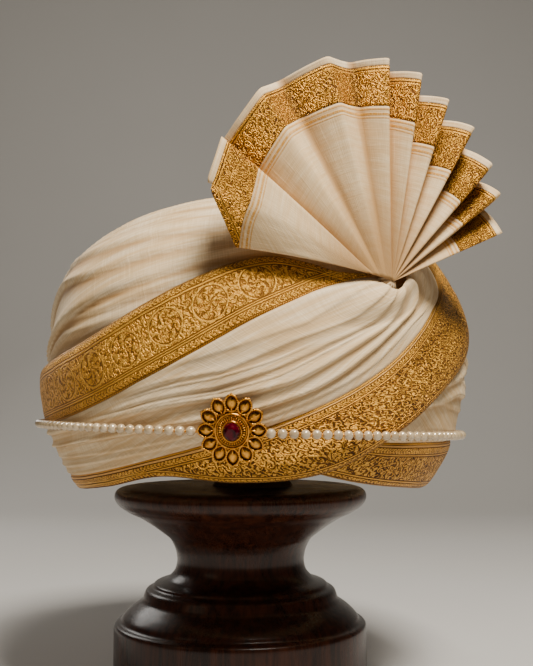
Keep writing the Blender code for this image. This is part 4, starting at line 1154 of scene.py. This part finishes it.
class Shapes:
    """Collects the points and faces of many small shapes for one piece."""

    def __init__(self):
        self.points = []
        self.faces = []
        self.recess = []
        self.count = 0

    def add(self, points, faces, dark=0.0):
        """Add points and faces; dark says how deep in the relief they lie, and so how much painted shade they
        take.
        """
        points = np.asarray(points, dtype=float)
        self.points.append(points)
        self.faces += [tuple(self.count + corner for corner in face) for face in faces]
        self.recess.append(np.broadcast_to(np.asarray(dark, dtype=float), (len(points),)))
        self.count += len(points)

    def ball(self, middle, radii, axes=np.eye(3), segments=10, rings=7, dark=0.0):
        """Add a stretched ball."""
        tilt = np.linspace(0.0, math.pi, rings + 1)[1:-1, None]
        turn = np.linspace(0.0, 2.0 * math.pi, segments, endpoint=False)[None]
        across = np.sin(tilt) * np.cos(turn), np.sin(tilt) * np.sin(turn), np.cos(tilt) + 0.0 * turn
        places = np.concatenate([np.stack(across, -1).reshape(-1, 3), [[0.0, 0.0, 1.0], [0.0, 0.0, -1.0]]])
        top = (rings - 1) * segments
        faces = grid_faces(rings - 1, segments, True)
        for step in range(segments):
            after = (step + 1) % segments
            faces.append((top, after, step))
            faces.append((top + 1, top - segments + step, top - segments + after))
        self.add(middle + (places * radii) @ np.array(axes), [face[::-1] for face in faces], dark)

    def tube(self, points, radius, sides=8, dark=0.0, swell=0.0, count=0):
        """Add a closed wire through points, with a number of swellings along it."""
        points = np.array(points)
        total = len(points)
        tangents = unit(np.roll(points, -1, 0) - np.roll(points, 1, 0))
        side = unit(np.cross(tangents, [0.0, 0.0, 1.0]))
        up = np.cross(side, tangents)
        wide = radius * (1.0 + swell * np.cos(2.0 * math.pi * count * np.arange(total) / total))
        turn = np.linspace(0.0, 2.0 * math.pi, sides, endpoint=False)[None, :, None]
        ring = side[:, None] * np.cos(turn) + up[:, None] * np.sin(turn)
        ring = points[:, None] + ring * wide[:, None, None]
        faces = []
        for index in range(total):
            after = (index + 1) % total
            for step in range(sides):
                other = (step + 1) % sides
                low, high = index * sides, after * sides
                faces.append((low + step, low + other, high + other, high + step))
        self.add(ring.reshape(-1, 3), faces, dark)

    def plate(self, size, levels, dark, steps=96):
        """Add a solid oval plate, raised through levels of share and height."""
        turns = np.linspace(0.0, 2.0 * math.pi, steps, endpoint=False)
        rings = [[on_oval(turn, share * size, height) for turn in turns] for share, height in levels]
        faces = grid_faces(len(levels), steps, True)
        faces.append(tuple(reversed(range(steps))))
        faces.append(tuple(steps * (len(levels) - 1) + step for step in range(steps)))
        self.add(np.array(rings).reshape(-1, 3), faces, dark)

    def build(self, name, material):
        """Make the piece."""
        mesh = bpy.data.meshes.new(name)
        mesh.from_pydata(np.concatenate(self.points).tolist(), [], self.faces)
        dark = np.concatenate(self.recess)
        add_vectors(mesh, "recess", np.stack([dark, dark, dark], -1))
        return make_object(name, mesh, material)


def axes_along(tangent):
    """Three right-angled directions, the last one along a tangent."""
    side = unit(np.cross([0.0, 0.0, 1.0], tangent))
    return side, np.cross(tangent, side), tangent


def make_pearls(pearl, gold):
    """Pearls on a closed string, a gold spacer between each two."""
    line = string_points(STRING_POINTS)
    closed = np.concatenate([line, line[:1]])
    lengths = arc_lengths(closed)
    count = round(lengths[-1] / BEAD_PITCH)
    places = np.arange(2 * count) * lengths[-1] / (2 * count)
    spots = np.stack([np.interp(places, lengths, closed[:, axis]) for axis in range(3)], -1)
    dice = np.random.default_rng(7)
    beads = Shapes()
    spacers = Shapes()
    for index in range(2 * count):
        tangent = unit(spots[(index + 1) % (2 * count)] - spots[index - 1])
        axes = axes_along(tangent)
        if index % 2 == 0:
            size = 0.5 * BEAD_DIAMETER * dice.uniform(0.985, 1.03)
            radii = (size, size * dice.uniform(0.98, 1.0), size * 0.985)
            beads.ball(spots[index], radii, axes, *BEAD_GRID)
        else:
            spacers.ball(spots[index], SPACER_RADII, axes, 10, 6)
    pieces = beads.build("pearls", pearl), spacers.build("pearl_spacers", gold)
    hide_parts("pearl_string")


def brooch_frame():
    """Middle of the brooch's back, and its right, up and outward directions."""
    heading = direction(*BROOCH_DIRECTION)
    normal = dome_normal(heading)
    lift = STRING_SEAT + OVERLAP_RISE * table(STRING_RIDES, BROOCH_DIRECTION[0])
    lift = lift + 0.5 * BEAD_DIAMETER + BROOCH_CLEARANCE
    middle = on_dome(heading, np.float64(0.0)) + normal * lift
    side = -unit(np.cross(normal, [0.0, 0.0, 1.0]))
    return middle, side, np.cross(normal, side), normal


def on_oval(turn, share, height):
    """Point in mm on an oval round the brooch's middle, at a share of its half sizes."""
    x = math.sin(turn) * share * BROOCH_HALF_WIDTH / MM
    y = math.cos(turn) * share * BROOCH_HALF_HEIGHT / MM
    return x, y, height


def petal_line(turn, grow, steps=PETAL_STEPS):
    """Teardrop outline of one petal in mm, pointing outward along a turn."""
    points = []
    for step in range(steps):
        way = 2.0 * math.pi * step / steps
        out = math.cos(way)
        across = math.sin(way) * (1.0 - 0.10 * max(out, 0.0) - 0.16 * max(-out, 0.0))
        radial = 0.735 + 0.232 * out * grow + (0.030 * grow if step == 0 else 0.0)
        spread = 0.198 * across * grow
        x = math.sin(turn) * radial + math.cos(turn) * spread
        y = math.cos(turn) * radial - math.sin(turn) * spread
        points.append((x * BROOCH_HALF_WIDTH / MM, y * BROOCH_HALF_HEIGHT / MM))
    return points


def make_petal(jewel, turn):
    """Petal: wire rim with grains, and a domed leaf with a rib inside it."""
    # The lower wire lies deeper and takes more painted shade
    jewel.tube([(x, y, 1.75) for x, y in petal_line(turn, 0.985, 66)], 0.52, 8, 0.15, 0.34, 22)
    jewel.tube([(x, y, 0.80) for x, y in petal_line(turn, 0.97)], 0.55, 8, 0.7)
    rows = []
    dark = []
    # Painted shade: the leaf darkens toward its edge and its sides
    for grow, height, deep in PETAL_LEVELS:
        line = petal_line(turn, grow)
        rib = [abs(math.sin(2.0 * math.pi * step / len(line))) for step in range(len(line))]
        rows += [(x, y, height - 0.35 * (1.0 - grow) * side) for (x, y), side in zip(line, rib)]
        dark += [deep + 0.25 * side * (1.0 - grow) for side in rib]
    faces = [face[::-1] for face in grid_faces(len(PETAL_LEVELS), PETAL_STEPS, True)]
    faces.append(tuple(reversed(range(len(rows) - PETAL_STEPS, len(rows)))))
    jewel.add(rows, faces, dark)
    out = (math.sin(turn), math.cos(turn), 0.0)
    axes = np.array([out, (out[1], -out[0], 0.0), (0.0, 0.0, -1.0)])
    for place, radii, height in ((0.60, (1.5, 0.42, 0.5), 2.3), (0.985, (0.5, 0.5, 0.5), 1.8)):
        jewel.ball(on_oval(turn, place, height), radii, axes)
    for place in (0.535, 0.635):
        jewel.ball(on_oval(turn + math.pi / PETALS, place, 1.5), (0.55, 0.55, 0.5), segments=8, rings=6)


def make_brooch(gold):
    """Rosette of twelve wire petals round a toothed collar."""
    middle, side, over, normal = brooch_frame()
    jewel = Shapes()
    for size, levels, dark in BROOCH_PLATES:
        jewel.plate(size, levels, dark)
    for petal in range(PETALS):
        make_petal(jewel, 2.0 * math.pi * petal / PETALS)
    for share, height, wire, swell in BROOCH_RINGS:
        ring = [on_oval(2.0 * math.pi * step / RING_STEPS, share, height) for step in range(RING_STEPS)]
        jewel.tube(ring, wire, 8, 0.0, swell, RING_GRAINS)
    for step in range(TEETH):
        x, y, height = on_oval(2.0 * math.pi * step / TEETH, TEETH_PLACE, TOOTH_HEIGHT)
        out = unit(np.array([x, y, 0.0]))
        axes = np.array([out, (out[1], -out[0], 0.0), (0.0, 0.0, -1.0)])
        jewel.ball((x, y, height), TOOTH_RADII, axes, 8, 6)
    jewel.points = [middle + points * MM @ np.array([side, over, normal]) for points in jewel.points]
    item = jewel.build("brooch_gold", gold)
    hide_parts("brooch_setting")


def make_stone(ruby):
    """Oval cut stone with a flat table and three tiers of facets."""
    middle, side, over, normal = brooch_frame()
    points = []
    for share, height, shift in STONE_TIERS:
        for step in range(STONE_FACETS):
            turn = 2.0 * math.pi * (step + shift) / STONE_FACETS
            flat = side * math.sin(turn) * STONE_HALF_WIDTH + over * math.cos(turn) * STONE_HALF_HEIGHT
            points.append(middle + flat * share + normal * (STONE_SEAT + height * STONE_HEIGHT))
    faces = []
    for tier in range(len(STONE_TIERS) - 1):
        shifted = STONE_TIERS[tier][2] > 0.0
        for step in range(STONE_FACETS):
            after = (step + 1) % STONE_FACETS
            low, high = tier * STONE_FACETS, (tier + 1) * STONE_FACETS
            if shifted:
                faces.append((low + step, high + step, high + after))
                faces.append((low + step, high + after, low + after))
            else:
                faces.append((low + step, high + step, low + after))
                faces.append((low + after, high + step, high + after))
    faces.append(tuple(range(STONE_FACETS)))
    faces.append(tuple(reversed(range(len(points) - STONE_FACETS, len(points)))))
    mesh = bpy.data.meshes.new("ruby_stone")
    mesh.from_pydata([tuple(point) for point in points], [], faces)
    item = make_object("ruby_stone", mesh, ruby)
    mesh.polygons.foreach_set("use_smooth", [False] * len(mesh.polygons))
    close_ends(item)
    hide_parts("brooch_stone")


def make_stand(wood):
    """Turned pedestal with its mouldings rounded."""
    corners = np.array([(radius * share, PLATE_TOP * height) for radius, share, height in STAND_PROFILE])
    profile = [corners[0]]
    for index in range(1, len(corners) - 1):
        before, here, after = corners[index - 1], corners[index], corners[index + 1]
        start, end = (
            here + (other - here) * min(MOULDING_SHARE, MOULDING / max(np.linalg.norm(other - here), 1e-6))
            for other in (before, after)
        )
        for share in MOULDING_STEPS:
            profile.append((1 - share) ** 2 * start + 2 * share * (1 - share) * here + share ** 2 * end)
    profile.append(corners[-1])
    profile = np.array(profile)
    profile[0, 0] = profile[-1, 0] = AXIS_GAP
    turns = np.linspace(0.0, 2.0 * math.pi, STAND_SEGMENTS, endpoint=False)
    tall = np.repeat(profile[:, 1:], STAND_SEGMENTS, axis=1)
    points = np.stack([profile[:, :1] * np.cos(turns), profile[:, :1] * np.sin(turns), tall], -1)
    item = make_surface("turned_stand", points, np.zeros(points.shape), wood, closed=True)
    close_ends(item)
    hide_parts("stand_pedestal")


def make_floor(pale):
    """Plain pale floor that curves up into a plain pale wall far behind."""
    profile = [(FLOOR_FRONT, 0.0), (FLOOR_BEND, 0.0)]
    for step in range(1, BEND_STEPS + 1):
        turn = 0.5 * math.pi * step / BEND_STEPS
        profile.append((FLOOR_BEND + BEND_RADIUS * math.sin(turn), BEND_RADIUS * (1.0 - math.cos(turn))))
    profile.append((FLOOR_BEND + BEND_RADIUS, WALL_TOP))
    points = np.array([[(x, y, z) for x in (-FLOOR_HALF_WIDTH, FLOOR_HALF_WIDTH)] for y, z in profile])
    mesh = bpy.data.meshes.new("studio_floor")
    mesh.from_pydata(points.reshape(-1, 3).tolist(), [], grid_faces(len(profile), 2))
    item = bpy.data.objects.new("studio_floor", mesh)
    bpy.context.scene.collection.objects.link(item)
    mesh.materials.append(pale)
    mesh.polygons.foreach_set("use_smooth", [True] * len(mesh.polygons))


def aim(item, place, target):
    """Put an object at a place, pointing at a target."""
    item.location = place
    item.rotation_euler = (Vector(target) - Vector(place)).to_track_quat("-Z", "Y").to_euler()
    bpy.context.scene.collection.objects.link(item)


def make_light(name, place, size, power, colour):
    """Soft square lamp pointing at the turban."""
    data = bpy.data.lights.new(name, "AREA")
    data.shape = "SQUARE"
    data.size = size
    data.energy = power
    data.color = colour
    aim(bpy.data.objects.new(name, data), place, LAMP_TARGET)


def make_studio():
    """Soft lamps and a pale surround."""
    for lamp in LAMPS:
        make_light(*lamp)
    world = bpy.data.worlds.new("studio")
    world.use_nodes = True
    surround = world.node_tree.nodes["Background"]
    surround.inputs["Color"].default_value = WORLD_COLOUR
    surround.inputs["Strength"].default_value = WORLD_STRENGTH
    bpy.context.scene.world = world


def make_camera():
    """Camera at the photograph's viewing angle."""
    data = bpy.data.cameras.new("camera")
    data.lens = CAMERA_LENS
    data.sensor_width = CAMERA_SENSOR
    data.clip_start = CAMERA_CLIP
    item = bpy.data.objects.new("camera", data)
    item.location = CAMERA_PLACE
    item.rotation_euler = (math.radians(90.0 + CAMERA_TILT), 0.0, 0.0)
    bpy.context.scene.collection.objects.link(item)
    bpy.context.scene.camera = item


def dress():
    """Make every piece and finish the nodes that stay."""
    make_camera()
    make_studio()
    make_floor(make_pale("pale_floor"))
    silk = make_silk("raw_silk_cloth")
    zari_upper = make_zari_border("zari_upper", UPPER_BANDS, UPPER_FIELD, UPPER_GAPS, True)
    zari_lower = make_zari_border("zari_lower", LOWER_BANDS, LOWER_FIELD, LOWER_GAPS, False)
    gold = make_gold("gold_metal_painted_shade")
    make_crown(silk)
    make_panel(silk)
    make_border("upper_brocade", "upper_border", 0.0, 1.0, zari_upper)
    make_border("lower_brocade", "lower_border", 2.0, 3.0, zari_lower)
    make_crest(silk, make_silk("raw_silk_lined", lines=True), make_zari_band("zari_band"))
    make_knot(silk)
    make_pearls(make_pearl(), gold)
    make_brooch(gold)
    make_stone(make_ruby())
    make_stand(make_walnut("walnut_varnish"))
    post = bpy.data.objects["stand_post"]
    post.material_slots[0].material = make_plain_wood()


dress()
